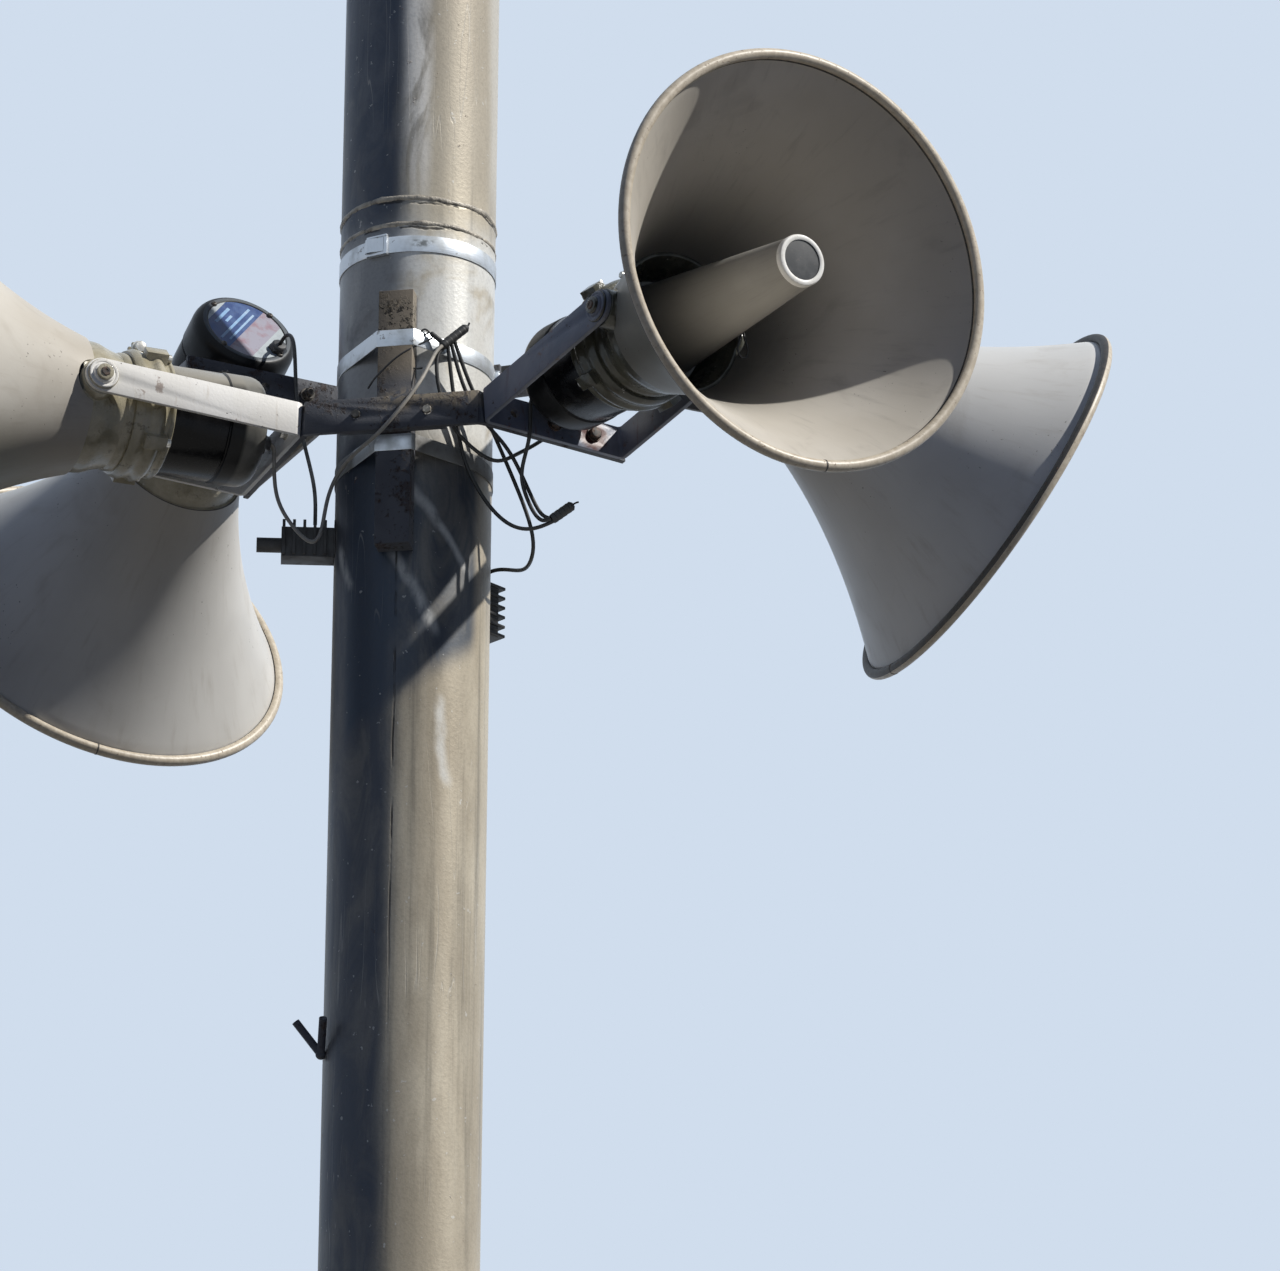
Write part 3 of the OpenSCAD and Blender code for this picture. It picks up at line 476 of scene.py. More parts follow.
# enamel of the brackets, with chips, rust runs and pale patches
def bracketEnamel(name, base, lighter, stain):
    f = Finish(name)
    broad = f.cloud(11, 4, 0.6)
    run = f.drawn(120, 120, 18)
    chip = f.spots(0.63, 0.69, 75, 5, 0.75)
    f.ground(f.step(broad, 0.35, 0.65), base, lighter)
    f.coat(f.step(run, 0.58, 0.74) * 0.5, stain)
    f.coat(f.spots(0.6, 0.68, 34, 5, 0.7) * 0.6, "7D5B45")
    f.coat(chip * 0.9, "3E322B")
    if name == "creamBracket":                        # rust round the far bolt of its foot
        spot = bracketPlace("a") @ Vector((2.5, hornSizes["footPitch"], 0))
        away = f.add("ShaderNodeVectorMath", {"operation": "DISTANCE"}, [f.place, spot], "Value")
        f.coat(f.step(away + (f.cloud(90, 3) - 0.5) * 0.02, 0.024, 0.014) * 0.9, "5A2F22")
    return f.paint(0.36 + chip * 0.35, f.cloud(300, 3) * 0.3 - chip, 0.0006, Specular_IOR_Level=0.2)


# satin cream-grey of the bells: cloudy, faintly brushed along their length, with small dark nicks
def hornPaint(name, letter, base, lighter, darker, throat, gloss):
    f = Finish(name, letter)
    broad = f.cloud(4.5, 4, 0.5)
    brushed = f.cloud(15, 4, 0.6, f.lengthwise(1.2))
    smudge = f.cloud(11, 5, 0.6, twist=0.6)
    f.ground(f.step(broad, 0.34, 0.66), base, lighter)
    f.coat(f.step(brushed, 0.52, 0.8) * 0.22, darker)
    f.coat(f.step(smudge, 0.56, 0.72) * 0.2, darker)
    # painted shade: horn c's bell is painted darker underneath
    under = f.step(f.axis("X"), 0.05, 0.13) * horns[letter]["dust"] * 0.8
    f.coat(under, "68654F")
    # painted shade: darker towards the throat, the shade inside the hollow; on horn a's outside, darker near the
    # neck, partly shade and partly grime
    fromZ, toZ, strength, shade = throat
    f.coat(f.step(f.axis("Z"), fromZ, toZ) * strength, shade)
    nick = f.spots(0.7, 0.73, 210, 2, 0.6) * f.spots(0.5, 0.62, 7, 3)
    f.coat(nick * 0.7, "51463B")
    rough = 0.34 + f.step(smudge, 0.35, 0.7) * 0.12 + nick * 0.2
    height = brushed * 0.12 + f.cloud(420, 3, 0.6) * 0.1 - nick * 0.8
    return f.paint(rough, height, 0.0004, Specular_IOR_Level=gloss)


# glossy sea-grey over rough castings, with dark grimy spots and small pale flecks
def castPaint(name, base, lighter):
    f = Finish(name)
    broad = f.cloud(22, 5, 0.6)
    pit = f.add("ShaderNodeTexVoronoi", {}, {"Vector": f.place, "Scale": 420})
    f.ground(f.step(broad, 0.36, 0.66), base, lighter)
    f.coat(f.spots(0.58, 0.68, 60, 5, 0.7) * 0.6, "4F493E")
    f.coat(f.spots(0.66, 0.72, 130, 4, 0.7) * 0.7, "D6D2C6")
    return f.paint(0.2 + broad * 0.14, pit * 0.35 + f.cloud(150, 4) * 0.5, 0.0006, Coat_Weight=0.3,
                   Coat_Roughness=0.1, Specular_IOR_Level=0.15)


# glossy black of the driver pots, dusty, with a pale line round the back's edge, a painted sky reflection with
# worn spots in it; horn c's is paler on top as painted light, with dust
def driverBlack(name, letter):
    f = Finish(name, letter)
    dust = f.spots(0.42, 0.7, 17, 5, 0.65)
    f.ground(dust, "0D0D0F", "202022")
    capEnd = -(hornSizes["neckBack"] + hornSizes["driverLen"]) * mm
    cap = f.step(f.axis("Z"), capEnd + 0.046, capEnd + 0.043)
    f.coat(cap * (0.15 + dust * 0.25), "3C3E3F")
    # painted light: horn c's driver is paler on top and at its back end, where the sun falls on it, with dust
    sunlitTopDust = horns[letter]["dust"] * f.spots(0.3, 0.55, 13, 4)
    f.coat(sunlitTopDust * f.step(f.axis("X") + (f.cloud(22, 3) - 0.5) * 0.02, -0.02, -0.038) * 0.85, "A6A298")
    f.coat(sunlitTopDust * f.step(f.axis("Z"), capEnd + 0.03, capEnd + 0.024) * 0.7, "8F8E88")
    # painted reflection: a pale line round the back's edge for the sky seen in it, broken by wear
    edge = f.stripe(f.reach(), hornSizes["driverBackR"] * mm - 0.0005, 0.0016, 0.0016)
    edge = edge * f.step(f.axis("Z"), capEnd + 0.004, capEnd)
    wear = f.spots(0.64, 0.7, 95, 5, 0.75)
    f.coat(edge * (0.45 + wear * 0.5), "8D949A")
    f.coat(wear * 0.25, "77716A")
    height = f.cloud(520, 3) * 0.06 + wear * -0.4
    return f.paint(0.2 + dust * 0.2 + cap * 0.12, height, 0.0003, Specular_IOR_Level=0.12)


def rubberBlack(name, dark, dusty, roughness):
    f = Finish(name)
    dust = f.spots(0.42, 0.7, 60, 4, 0.6)
    grime = f.spots(0.6, 0.7, 190, 4, 0.7)
    f.ground(dust, dark, dusty)
    f.coat(grime * 0.35, "4A433C")
    return f.paint(roughness + dust * 0.2, f.cloud(900, 2), 0.0001)


def darkMetal(name, base, lighter, roughness, metal):
    f = Finish(name)
    broad = f.cloud(120, 5, 0.65)
    rust = f.spots(0.6, 0.7, 210, 4, 0.7)
    f.ground(f.step(broad, 0.4, 0.62), base, lighter)
    f.coat(rust * 0.55, "6E4A34")
    return f.paint(roughness + rust * 0.3, broad + rust, 0.0003, Metallic=metal)


# brackets and castings by their tones; metals and rubbers by their material's name, tones and roughness,
# and a metal by how metallic it is too
# one pale enamel on every bracket: horn c's tone is the sunlit one; the blue-grey of horn a's and the dark grey
# of b's and d's are painted shade
enamels = {"greyBracket": ("6F7076", "85868A", "4C4845"), "creamBracket": ("737A8B", "9395A1", "6B4A3C"),
           "paleBracket": ("F3F1EC", "FBFAF7", "D3CABD")}
# one cast paint: oliveCast, on horns a and b, is its tone darkened as painted shade; paleCast is the lit tone
casts = {"oliveCast": ("48473E", "636254"), "paleCast": ("9A937D", "BAB39F")}
metals = {
    "rimFront": ("rimPaint", "BDB19D", "CFC4B1", 0.42, 0.0),
    "rimBack": ("rimGrime", "1F1C1A", "35302C", 0.55, 0.0),
    "zinc": ("zincBolt", "A7A49E", "D0CEC8", 0.35, 0.6), "dullZinc": ("dullZinc", "8C867B", "C9C2B5", 0.5, 0.3),
    "core": ("rustyCore", "1D1917", "4E382B", 0.6, 0.2), "darkBolt": ("darkBolt", "34322F", "57524C", 0.5, 0.4)}
rubbers = {
    "clamp": ("clampPlastic", "121214", "2B2A2A", 0.55), "lead": ("leadRubber", "0D0D0E", "202020", 0.55),
    "greyLead": ("greyLeadRubber", "A19D95", "C2BCB1", 0.55), "tape": ("tapeBlack", "0A0A0B", "1B1B1C", 0.55),
    "white": ("whiteRing", "F2F1EC", "E2E0D9", 0.4), "disc": ("darkDisc", "1A1B1D", "2B2C2E", 0.4),
    "plateBlue": ("plateBlue", "123A78", "27528C", 0.35), "plateLine": ("plateLine", "8CB4DC", "A9C3DD", 0.35),
    "plateWhite": ("plateWhite", "B9C2C6", "9AA4AA", 0.35), "plateRose": ("plateRose", "A3A0AE", "8F6F7C", 0.35),
    "gland": ("glandNylon", "1C1C1E", "3A3A3B", 0.4)}
# what every horn has alike: tones, throat and gloss
hornInsides = {"inside": ("C2BCB1", "D0CBC2", "74706A", (0.18, 0.02, 0.8, "66645F"), 0.08),
               "tube": ("97958F", "AEABA5", "64625D", (0.2, 0.02, 0.6, "5C5A57"), 0.2)}
finishes = {"pole": polePaint(), "weld": weldMetal(), "band": stainlessBand(), "steel": rustySteel(),
            **{key: bracketEnamel(key, *look) for key, look in enamels.items()},
            **{key: castPaint(key, *look) for key, look in casts.items()},
            **{key: darkMetal(*look) for key, look in metals.items()},
            **{key: rubberBlack(*look) for key, look in rubbers.items()}}
for letter, horn in horns.items():
    tag = letter.upper()
    for part, look in {"bell": (*horn["bell"], "9D9384", horn["throat"], horn["gloss"]), **hornInsides}.items():
        finishes[part + tag] = hornPaint(part + "Paint" + tag, letter, *look)
    finishes["driver" + tag] = driverBlack("driverBlack" + tag, letter)
print("finishes made:", len(finishes))


def smoothed(mesh, angle):
    mesh.shade_smooth()
    mesh.set_sharp_from_angle(angle=math.radians(angle))
    return mesh


# a mesh that comes out of a tree, with its doubles merged and its faces turned outwards
def turnedOut(mesh):
    sheet = bmesh.new()
    sheet.from_mesh(mesh)
    bmesh.ops.remove_doubles(sheet, verts=sheet.verts, dist=1e-6)
    bmesh.ops.recalc_face_normals(sheet, faces=sheet.faces)
    sheet.to_mesh(mesh)
    sheet.free()
    return mesh


def newPiece(name, mesh, finish, body, nodes=()):
    piece = placed(name, mesh)
    for key in [finish] if isinstance(finish, str) else finish or []:
        mesh.materials.append(finishes[key])
    if body:
        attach(piece, body)
    if nodes:
        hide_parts(*nodes)
    return piece


def meshFrom(name, verts, faces, marks=None, place=None, angle=35, mend=True):
    mesh = bpy.data.meshes.new(name)
    mesh.from_pydata([tuple(v) for v in verts], [], faces)
    if marks:
        mesh.polygons.foreach_set("material_index", marks)
    if mend:
        turnedOut(mesh)
    if place is not None:
        mesh.transform(place)
    return smoothed(mesh, angle)


# a closed outline of (radius, height, mark, corners) turned round Z; corners make that ring a polygon
def spun(outline, steps):
    verts, faces, marks, rings = [], [], [], []
    for point in outline:
        r, z = point[0], point[1]
        sector = 2 * math.pi / point[3] if len(point) > 3 else None
        if r < 1e-6:
            rings.append([len(verts)] * steps)
            verts.append((0, 0, z))
        else:
            rings.append(list(range(len(verts), len(verts) + steps)))
            for k in range(steps):
                turn = 2 * math.pi * k / steps
                reach = r * math.cos(sector / 2) / math.cos(turn % sector - sector / 2) if sector else r
                verts.append((reach * math.cos(turn), reach * math.sin(turn), z))
    for i, ring in enumerate(rings):
        after = rings[(i + 1) % len(rings)]
        for k in range(steps):
            corners = [ring[k], ring[(k + 1) % steps], after[(k + 1) % steps], after[k]]
            corners = [c for n, c in enumerate(corners) if c not in corners[:n]]
            if len(corners) > 2:
                faces.append(corners)
                marks.append(outline[i][2] if len(outline[i]) > 2 else 0)
    return verts, faces, marks


def joined(parts):
    verts, faces, marks = [], [], []
    for partVerts, partFaces, partMarks in parts:
        faces += [[i + len(verts) for i in face] for face in partFaces]
        verts += [Vector(v) for v in partVerts]
        marks += partMarks
    return verts, faces, marks


def movedPart(part, place):
    verts, faces, marks = part
    return [place @ Vector(v) for v in verts], faces, marks


# a flat outline given a thickness from low to high
def slabPart(outline, low, high, mark=0):
    count = len(outline)
    verts = [(x, y, z) for z in (low, high) for x, y in outline]
    faces = [list(range(count))[::-1], list(range(count, 2 * count))]
    faces += [[i, (i + 1) % count, (i + 1) % count + count, i + count] for i in range(count)]
    return verts, faces, [mark] * len(faces)


def oblong(left, right, low, high):
    return [(left, low), (right, low), (right, high), (left, high)]


# a smooth line through the neighbourhood of given points, starting and ending on them
def easedLine(points, perSpan=6):
    p = [Vector(q) for q in points]
    p = [2 * p[0] - p[1]] + p + [2 * p[-1] - p[-2]]
    line = []
    for i in range(len(p) - 3):
        a, b, c, d = p[i:i + 4]
        for k in range(perSpan):
            t = k / perSpan
            line.append(((1 - t) ** 3 * a + (3 * t ** 3 - 6 * t ** 2 + 4) * b
                         + (-3 * t ** 3 + 3 * t ** 2 + 3 * t + 1) * c + t ** 3 * d) / 6)
    line.append(p[-2].copy())
    return line


def lineLength(line):
    return sum((b - a).length for a, b in zip(line, line[1:]))


# a closed tube of changing radius along a line
def sweptPart(line, radius, sides):
    verts, faces = [], []
    across = None
    for i, point in enumerate(line):
        ahead = (line[min(i + 1, len(line) - 1)] - line[max(i - 1, 0)]).normalized()
        if across is None:
            across = ahead.cross(Vector((0, 0, 1)) if abs(ahead.z) < 0.9 else Vector((1, 0, 0)))
        across = (across - across.dot(ahead) * ahead).normalized()
        other = ahead.cross(across)
        r = radius(i / (len(line) - 1)) if callable(radius) else radius
        for k in range(sides):
            turn = 2 * math.pi * k / sides
            verts.append(point + r * (math.cos(turn) * across + math.sin(turn) * other))
    for i in range(len(line) - 1):
        for k in range(sides):
            a, b = i * sides + k, i * sides + (k + 1) % sides
            faces.append([a, b, b + sides, a + sides])
    faces.append(list(range(sides - 1, -1, -1)))
    faces.append([(len(line) - 1) * sides + k for k in range(sides)])
    return verts, faces, [0] * len(faces)


# leads: the construction's own points, in millimetres from the strip's height
leads = {
    "a": {"points": [(157.1, -92.3, 23.3), (153.6, -88.7, 23.2), (151.6, -86.6, 18.5), (151.2, -86.2, 8),
                     (151.8, -86.8, -24), (144, -77, -42), (136, -66, -64), (145, -66, -92), (154, -67.5, -112),
                     (163, -66.5, -121), (171.4, -65.5, -116.6)],
          "hold": ((145, -68, -75), (154, -90, 12)), "finish": "lead"},
    "b": {"points": [(229.8, 67.9, 210.3), (225, 64.5, 213.6), (217, 62, 211), (213, 61, 198), (213, 64, 150),
                     (209, 60, 104), (192, 38, 64), (150, -26, -6), (128, -50, -28), (104, -48, -40),
                     (76, -75, -22), (60, -89, -4), (46, -100, 40), (44.2, -100.2, 79.3), (51, -95.6, 87.4)],
          "hold": ((203, 52, 90), (224, 66, 206)), "finish": "lead"},
    "c": {"points": [(-151.1, -81.4, -9.4), (-147, -78.7, -9.6), (-145.6, -77.5, -16), (-146, -76, -30),
                     (-146, -69, -64), (-136, -66, -90), (-118, -65, -115), (-101, -65, -131), (-91, -64, -116),
                     (-88, -63, -78), (-78, -64, -48), (-58, -82, -34), (-30, -117, -32), (-10, -131.5, -25),
                     (27, -131, 22), (38, -114, 56), (44.6, -104.8, 81.6), (51.4, -100.2, 89.6)],
          "hold": ((-114, -70, -70), (-147, -70, -70)), "finish": "greyLead"},
    "d": {"points": [(-190.5, 130.3, 213.9), (-187, 126, 217), (-180, 117, 219.5), (-172, 108, 214),
                     (-166, 100, 197), (-163, 94, 158), (-158, 86, 100), (-136, 52, 30), (-116, 8, -30),
                     (-108.2, -25, -78), (-108.2, -25, -87.5)],
          "hold": ((-160, 89, 120), (-184, 122, 212)), "finish": "lead"}}
feeds = {
    "upperFeed": [(56, -93, 97), (59, -86, 60), (64, -74, 10), (68, -67, -26), (78, -57, -56), (97, -48, -90),
                  (124, -54, -120), (152, -60, -128), (178, -60, -116)],
    "middleFeed": [(59, -91, 100), (70, -78, 50), (86, -66, 16), (112, -61, -12), (129, -56, -38),
                   (150, -57, -90), (161, -56, -112), (177, -57.5, -113.5)],
    "clampFeed": [(62, -89.5, 104), (78, -72, 50), (94, -56, 20), (118, -38, -40), (150, -36, -122),
                  (140, -10, -146), (118, 46, -132), (88, 86, -108), (66, 93, -108), (60, 90, -124.5)]}
leadD = 4.5


def fromStrip(point):
    return Vector((point[0] * mm, point[1] * mm, point[2] * mm + stripZ))


def cordPiece(name, points, finish, nodes):
    line = easedLine([fromStrip(p) for p in points])
    mesh = meshFrom(name, *sweptPart(line, leadD * mm / 2, 12)[:2], mend=False, angle=60)
    piece = newPiece(name, mesh, finish, None, nodes)
    lineLength(line)
    return piece


def addLeads():
    for letter, lead in leads.items():
        piece = cordPiece("lead" + letter.upper(), lead["points"], lead["finish"], ["lead_" + letter])
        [fromStrip(p) for p in lead["hold"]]
        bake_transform(piece)
    for name, points in feeds.items():
        piece = cordPiece(name, points, "lead", ["joined_leads"] if name == "upperFeed" else [])
        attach(piece, "pole")


addLeads()
print("leads drawn")


# taped joints, with the tape's thickness in d, and thin strands of tape and lead about them
tapedJoints = {"upper": {"from": (50, -97.5, 90), "to": (76, -80, 121), "d": 11.0, "turns": 6},
               "short": {"from": (52, -96, 95), "to": (38, -103, 106), "d": 6, "turns": 3},
               "hanging": {"from": (172, -60, -116), "to": (197, -60, -99), "d": 12, "turns": 5}}
strandR = 1.1
strands = {"tip": [(74, -81, 118), (77, -79, 123), (78, -79, 126)],
           "curl": [(38, -102, 105), (35, -104, 109), (31, -106, 110), (28, -107, 106)],
           "tail": [(195, -60, -100), (200, -60.5, -97), (203, -61, -97)],
           "tie": [(40, -101, 100), (27, -108, 90), (13, -117, 79), (0, -117.5, 70), (-12, -117.5, 58),
                   (-24, -117, 46), (-31, -111, 38)],
           "loop": [(37, -103, 106), (24, -105, 100), (14, -106, 86), (12, -108, 68), (18, -107, 60),
                    (30, -104, 62)]}


def addTapedJoints():
    parts = []
    for joint in tapedJoints.values():
        start, stop = fromStrip(joint["from"]), fromStrip(joint["to"])
        count = joint["turns"] * 12
        line = [start + (stop - start) * i / count for i in range(count + 1)]
        half = joint["d"] / 2 * mm

        def windings(t):
            ends = min(1, 6 * (1 - t) + 0.45, 8 * t + 0.7)
            return half * ends * (0.93 + 0.07 * (t * joint["turns"] % 1))
        parts.append(sweptPart(line, windings, 20))
    for points in strands.values():
        parts.append(sweptPart(easedLine([fromStrip(p) for p in points], 5), strandR * mm, 8))
    mesh = meshFrom("tapedJoints", *joined(parts), mend=False, angle=50)
    newPiece("tapedJoints", mesh, "tape", "pole")


addTapedJoints()
print("joints taped")


# a geometry tree that turns an outline round Z: rows of a flat grid take their place from its points
def turnedPlan():
    plan = Plan("turnedShell", [("Steps", "Int", 160)],
                ["Outside", "Inside", "Rim Front", "Rim Back", "Crease"])
    outline = plan.given("Geometry")
    rows = plan.add("GeometryNodeAttributeDomainSize", {"component": "MESH"}, [outline])
    grid = plan.add("GeometryNodeMeshGrid", {}, {"Size X": 1.0, "Size Y": 1.0,
                                                 "Vertices X": plan.given("Steps") + 1, "Vertices Y": rows + 1})
    here = plan.add("GeometryNodeInputPosition")
    across, along = (plan.add("ShaderNodeSeparateXYZ", {}, [here], letter) + 0.5 for letter in "XY")
    count = plan.add("ShaderNodeMath", {"operation": "FLOOR"}, [along * rows + 0.01])
    row = plan.add("ShaderNodeMath", {"operation": "MODULO"}, [count, rows])
    mark = plan.add("GeometryNodeSampleIndex", {"data_type": "INT"},
                    {"Geometry": outline, "Value": plan.attribute("mark", "INT"), "Index": row})
    point = plan.add("GeometryNodeSampleIndex", {"data_type": "FLOAT_VECTOR"},
                     {"Geometry": outline, "Value": here, "Index": row})
    marked = plan.add("GeometryNodeStoreNamedAttribute", {"data_type": "INT", "domain": "FACE"},
                      {"Geometry": grid, "Name": "mark", "Value": mark})
    radius, height = (plan.add("ShaderNodeSeparateXYZ", {}, [point], letter) for letter in "XZ")
    angle = across * (2 * math.pi)
    ring = plan.add("ShaderNodeCombineXYZ", {}, [radius * angle.math("COSINE", angle),
                                                 radius * angle.math("SINE", angle), height])
    turned = plan.add("GeometryNodeSetPosition", {}, {"Geometry": marked, "Position": ring})
    plan.end(plan.add("GeometryNodeMergeByDistance", {}, {"Geometry": turned, "Distance": 0.001}))
    return plan


# outline points (radius, height, mark) as a mesh that the tree can read
def outlineMesh(name, outline):
    mesh = bpy.data.meshes.new(name)
    mesh.from_pydata([(point[0], 0, point[1]) for point in outline], [], [])
    mesh.attributes.new("mark", "INT", "POINT").data.foreach_set("value", [point[2] for point in outline])
    return mesh


def bellRadius(z):
    s = hornSizes
    rimZ = s["mouthZ"] - s["rimR"]
    curve = (s["mouthR"] - s["rimR"] - 2 - s["throatR"] - s["slope"] * rimZ) / rimZ ** 2
    return s["throatR"] + s["slope"] * z + curve * z * z


# the bell's closed outline; marks are 0 outside, 1 inside, 2 the bead's front, 3 its back and 4 its crease
def bellOutline(beadTurn):
    s = hornSizes
    bead, rimZ, rimR = s["rimR"], s["mouthZ"] - s["rimR"], s["mouthR"] - s["rimR"]
    zs = [s["start"] + (rimZ - 6 - s["start"]) * i / s["rows"] for i in range(s["rows"] + 1)]
    outline = [(bellRadius(z), z, 0) for z in zs]
    for a in range(s["beadFrom"], s["beadTo"] + 1, s["beadStep"]):
        turn, mark = math.radians(a), 4 if a < s["beadCrease"] else 3 if a < beadTurn else 2
        outline.append((rimR + bead * math.cos(turn), rimZ + bead * math.sin(turn), mark))
    outline += [(rimR - bead * 0.80, rimZ - 1.0, 4), (rimR - bead * 0.95, rimZ - 3.2, 1)]
    return outline + [(bellRadius(z) - s["wall"], z, 1) for z in reversed(zs)]


def bellMesh(plan, letter, cutter):
    tag = letter.upper()
    # the bead's back and crease take the near-black rimBack: grime and painted shade in the groove behind the
    # bead; on horn d they swap, and the bead's far front is painted dark as shade
    rims, beadTurn = ["rimFront", "rimBack"], -20      # where round the bead its front's finish begins
    if horns[letter]["paleRim"]:
        rims, beadTurn = ["rimBack", "rimFront"], 35
    coats = ["bell" + tag, "inside" + tag, *rims, "rimBack"]
    outline = outlineMesh("bell" + tag, bellOutline(beadTurn))
    mesh = turnedOut(plan.grow(outline, coats, {"Steps": hornSizes["steps"]}, cutter))
    mesh.transform(hornPlace(letter))
    return smoothed(mesh, 60)


# the reflector's nose inwards from its side: (radius over the front's, height over the front, mark)
reflectorNose = [(0.4, -8, 1), (0.4, -2, 1), (-0.6, -0.4, 1), (-1.8, 0, 1), (-5, 0, 1), (-6, -0.6, 2),
                 (-6.4, -1.6, 2), (-15, -1.2, 2)]


# reflector: tapered tube with a ring and a recessed bare disc in front, an inner sound tube and three legs
def reflectorParts():
    s = hornSizes
    front, back, wall = s["reflectorFront"], s["reflectorBack"], s["reflectorWall"]
    frontZ, tailZ, floorZ, tubeR = s["mouthZ"] - s["inset"], -s["reflectorTail"], -s["bowlFloor"], s["tubeR"]
    shell = [(back, tailZ, 0), (back + 1.5, tailZ + 3, 0)]
    shell += [(back + 0.5 + (front - back - 0.5) * i / 8, s["reflectorSideZ"] + (frontZ - 2) * i / 8, 0)
              for i in range(9)]
    shell += [(front + r, frontZ + z, mark) for r, z, mark in reflectorNose]
    shell += [(0, frontZ - 1.0, 0), (0, frontZ - 1.0 - wall, 0), (front - 6, frontZ - 4.5, 0),
              (front - wall, frontZ - 10, 0), (back - wall, tailZ, 0)]
    leg = slabPart(oblong(tubeR - 1, s["bowlR"] - 1, -s["legHalf"], s["legHalf"]), floorZ, tailZ + 2)
    legs = [movedPart(leg, Matrix.Rotation(math.radians(30 + 120 * i), 4, "Z")) for i in range(3)]
    return [spun(shell, 96), spun(oblong(tubeR - wall, tubeR, floorZ, frontZ - s["tubeShort"]), 48), *legs]


def addHorns():
    plan, half = turnedPlan(), 150                     # half of the cutter's length over both bosses
    bosses = spun([(0, -half), (hornSizes["bossR"], -half), (hornSizes["bossR"], half), (0, half)], 48)
    cutter = placed("bossCut", meshFrom("bossCut", *bosses, Matrix.Rotation(math.pi / 2, 4, "X")))
    for letter in horns:
        body, tag = "horn_" + letter, letter.upper()
        newPiece("bell" + tag, bellMesh(plan, letter, cutter), None, body, ["bell_" + letter])
        shape = meshFrom("reflector" + tag, *joined(reflectorParts()), hornPlace(letter))
        coats = ["tube" + tag, "white", "disc"]
        newPiece("reflector" + tag, shape, coats, body, ["reflector_" + letter])
        print("horn", letter, "built")
    bpy.data.objects.remove(cutter)


addHorns()


# small things on horn a, in its own millimetres: a loop of wire under the tube and the bead's seam
hornDetails = {"wireAt": (100, 47), "wireDrop": 32, "wireWide": 18, "wireR": 1.2,
               "seamAngle": 9.5, "seamWide": 1.6, "seamOver": 0.35}


def addHornDetails():
    d, s = hornDetails, hornSizes
    height, turn = d["wireAt"][0], math.radians(d["wireAt"][1])
    along = (height - s["reflectorSideZ"]) / s["mouthZ"]
    tubeR = s["reflectorBack"] + (s["reflectorFront"] - s["reflectorBack"]) * along
    root = Vector((tubeR * math.cos(turn), tubeR * math.sin(turn), height))
    drop, half = d["wireDrop"], d["wireWide"] / 2
    loop = [(-3, 0, 0), (0.2 * drop, -0.3 * half, 1), (0.6 * drop, -half, 3), (drop, -0.3 * half, 4),
            (0.9 * drop, 0.7 * half, 3), (0.5 * drop, half, 1), (0.15 * drop, 0.4 * half, -1),
            (-3, 0.3 * half, -2)]
    wire = sweptPart(easedLine([root + Vector(q) for q in loop], 5), d["wireR"], 10)
    newPiece("wireLoop", meshFrom("wireLoop", *wire, hornPlace("a"), 60), "lead", "horn_a")
    rim = Matrix.Translation((s["mouthR"] - s["rimR"], 0, s["mouthZ"] - s["rimR"]))
    turnTo = Matrix.Rotation(math.radians(d["seamAngle"]), 4, "Z") @ rim @ Matrix.Rotation(math.pi / 2, 4, "X")
    reach, wide = s["rimR"] + d["seamOver"], d["seamWide"] / 2
    seam = movedPart(spun([(0, -wide), (reach, -wide), (reach, wide), (0, wide)], 24), turnTo)
    for letter in horns:
        mesh = meshFrom("rimSeam", *seam, hornPlace(letter))
        newPiece("rimSeam" + letter.upper(), mesh, "rimBack", "horn_" + letter)


addHornDetails()


# carried-over shapes and how wide their edges are softened, in millimetres: nodes, finish, slot and width
softAngle = 40                        # an edge sharper than this is softened, in degrees
softNodes = [(("base_plate", "base_gussets"), "pole", "pole_steel", 1.5),
             (("pole_cap",), "pole", "pole_steel", 0.6),
             (("front_post", "rear_post", "front_strip", "rear_strip"), "steel", "rusty_steel", 0.8),
             (("left_cable_clamp", "right_cable_clamp"), "clamp", "clamp_plastic", 0.5),
             (("lower_hook",), "steel", "rusty_steel", 0),
             (("upper_band", "middle_band", "lower_band"), "band", "stainless_band", 0.2)]
softWidths = {"bracket": 0.9, "neck": 0.6, "ring": 0.6, "driver": 0.6}


# a merged copy of a node, with softened edges, takes its place
def softened(node, finish, body, width):
    mesh = frame["nodes"][node].data.copy()
    mesh.name = node + "Soft"
    sheet = bmesh.new()
    sheet.from_mesh(mesh)
    bmesh.ops.remove_doubles(sheet, verts=sheet.verts, dist=2e-6)
    bmesh.ops.dissolve_limit(sheet, angle_limit=math.radians(0.6), verts=sheet.verts, edges=sheet.edges)
    sheet.to_mesh(mesh)
    sheet.free()
    if width:
        raw = placed("raw", mesh)
        bevel = raw.modifiers.new("soft", "BEVEL")
        bevel.width, bevel.segments = width * mm, 2
        bevel.limit_method, bevel.angle_limit = "ANGLE", math.radians(softAngle)
        mesh = settled(raw)
        bpy.data.objects.remove(raw)
    mesh.materials.clear()
    name = "".join(part if i == 0 else part.capitalize() for i, part in enumerate(node.split("_")))
    newPiece(name + "Soft", smoothed(mesh, softAngle), finish, body, [node])


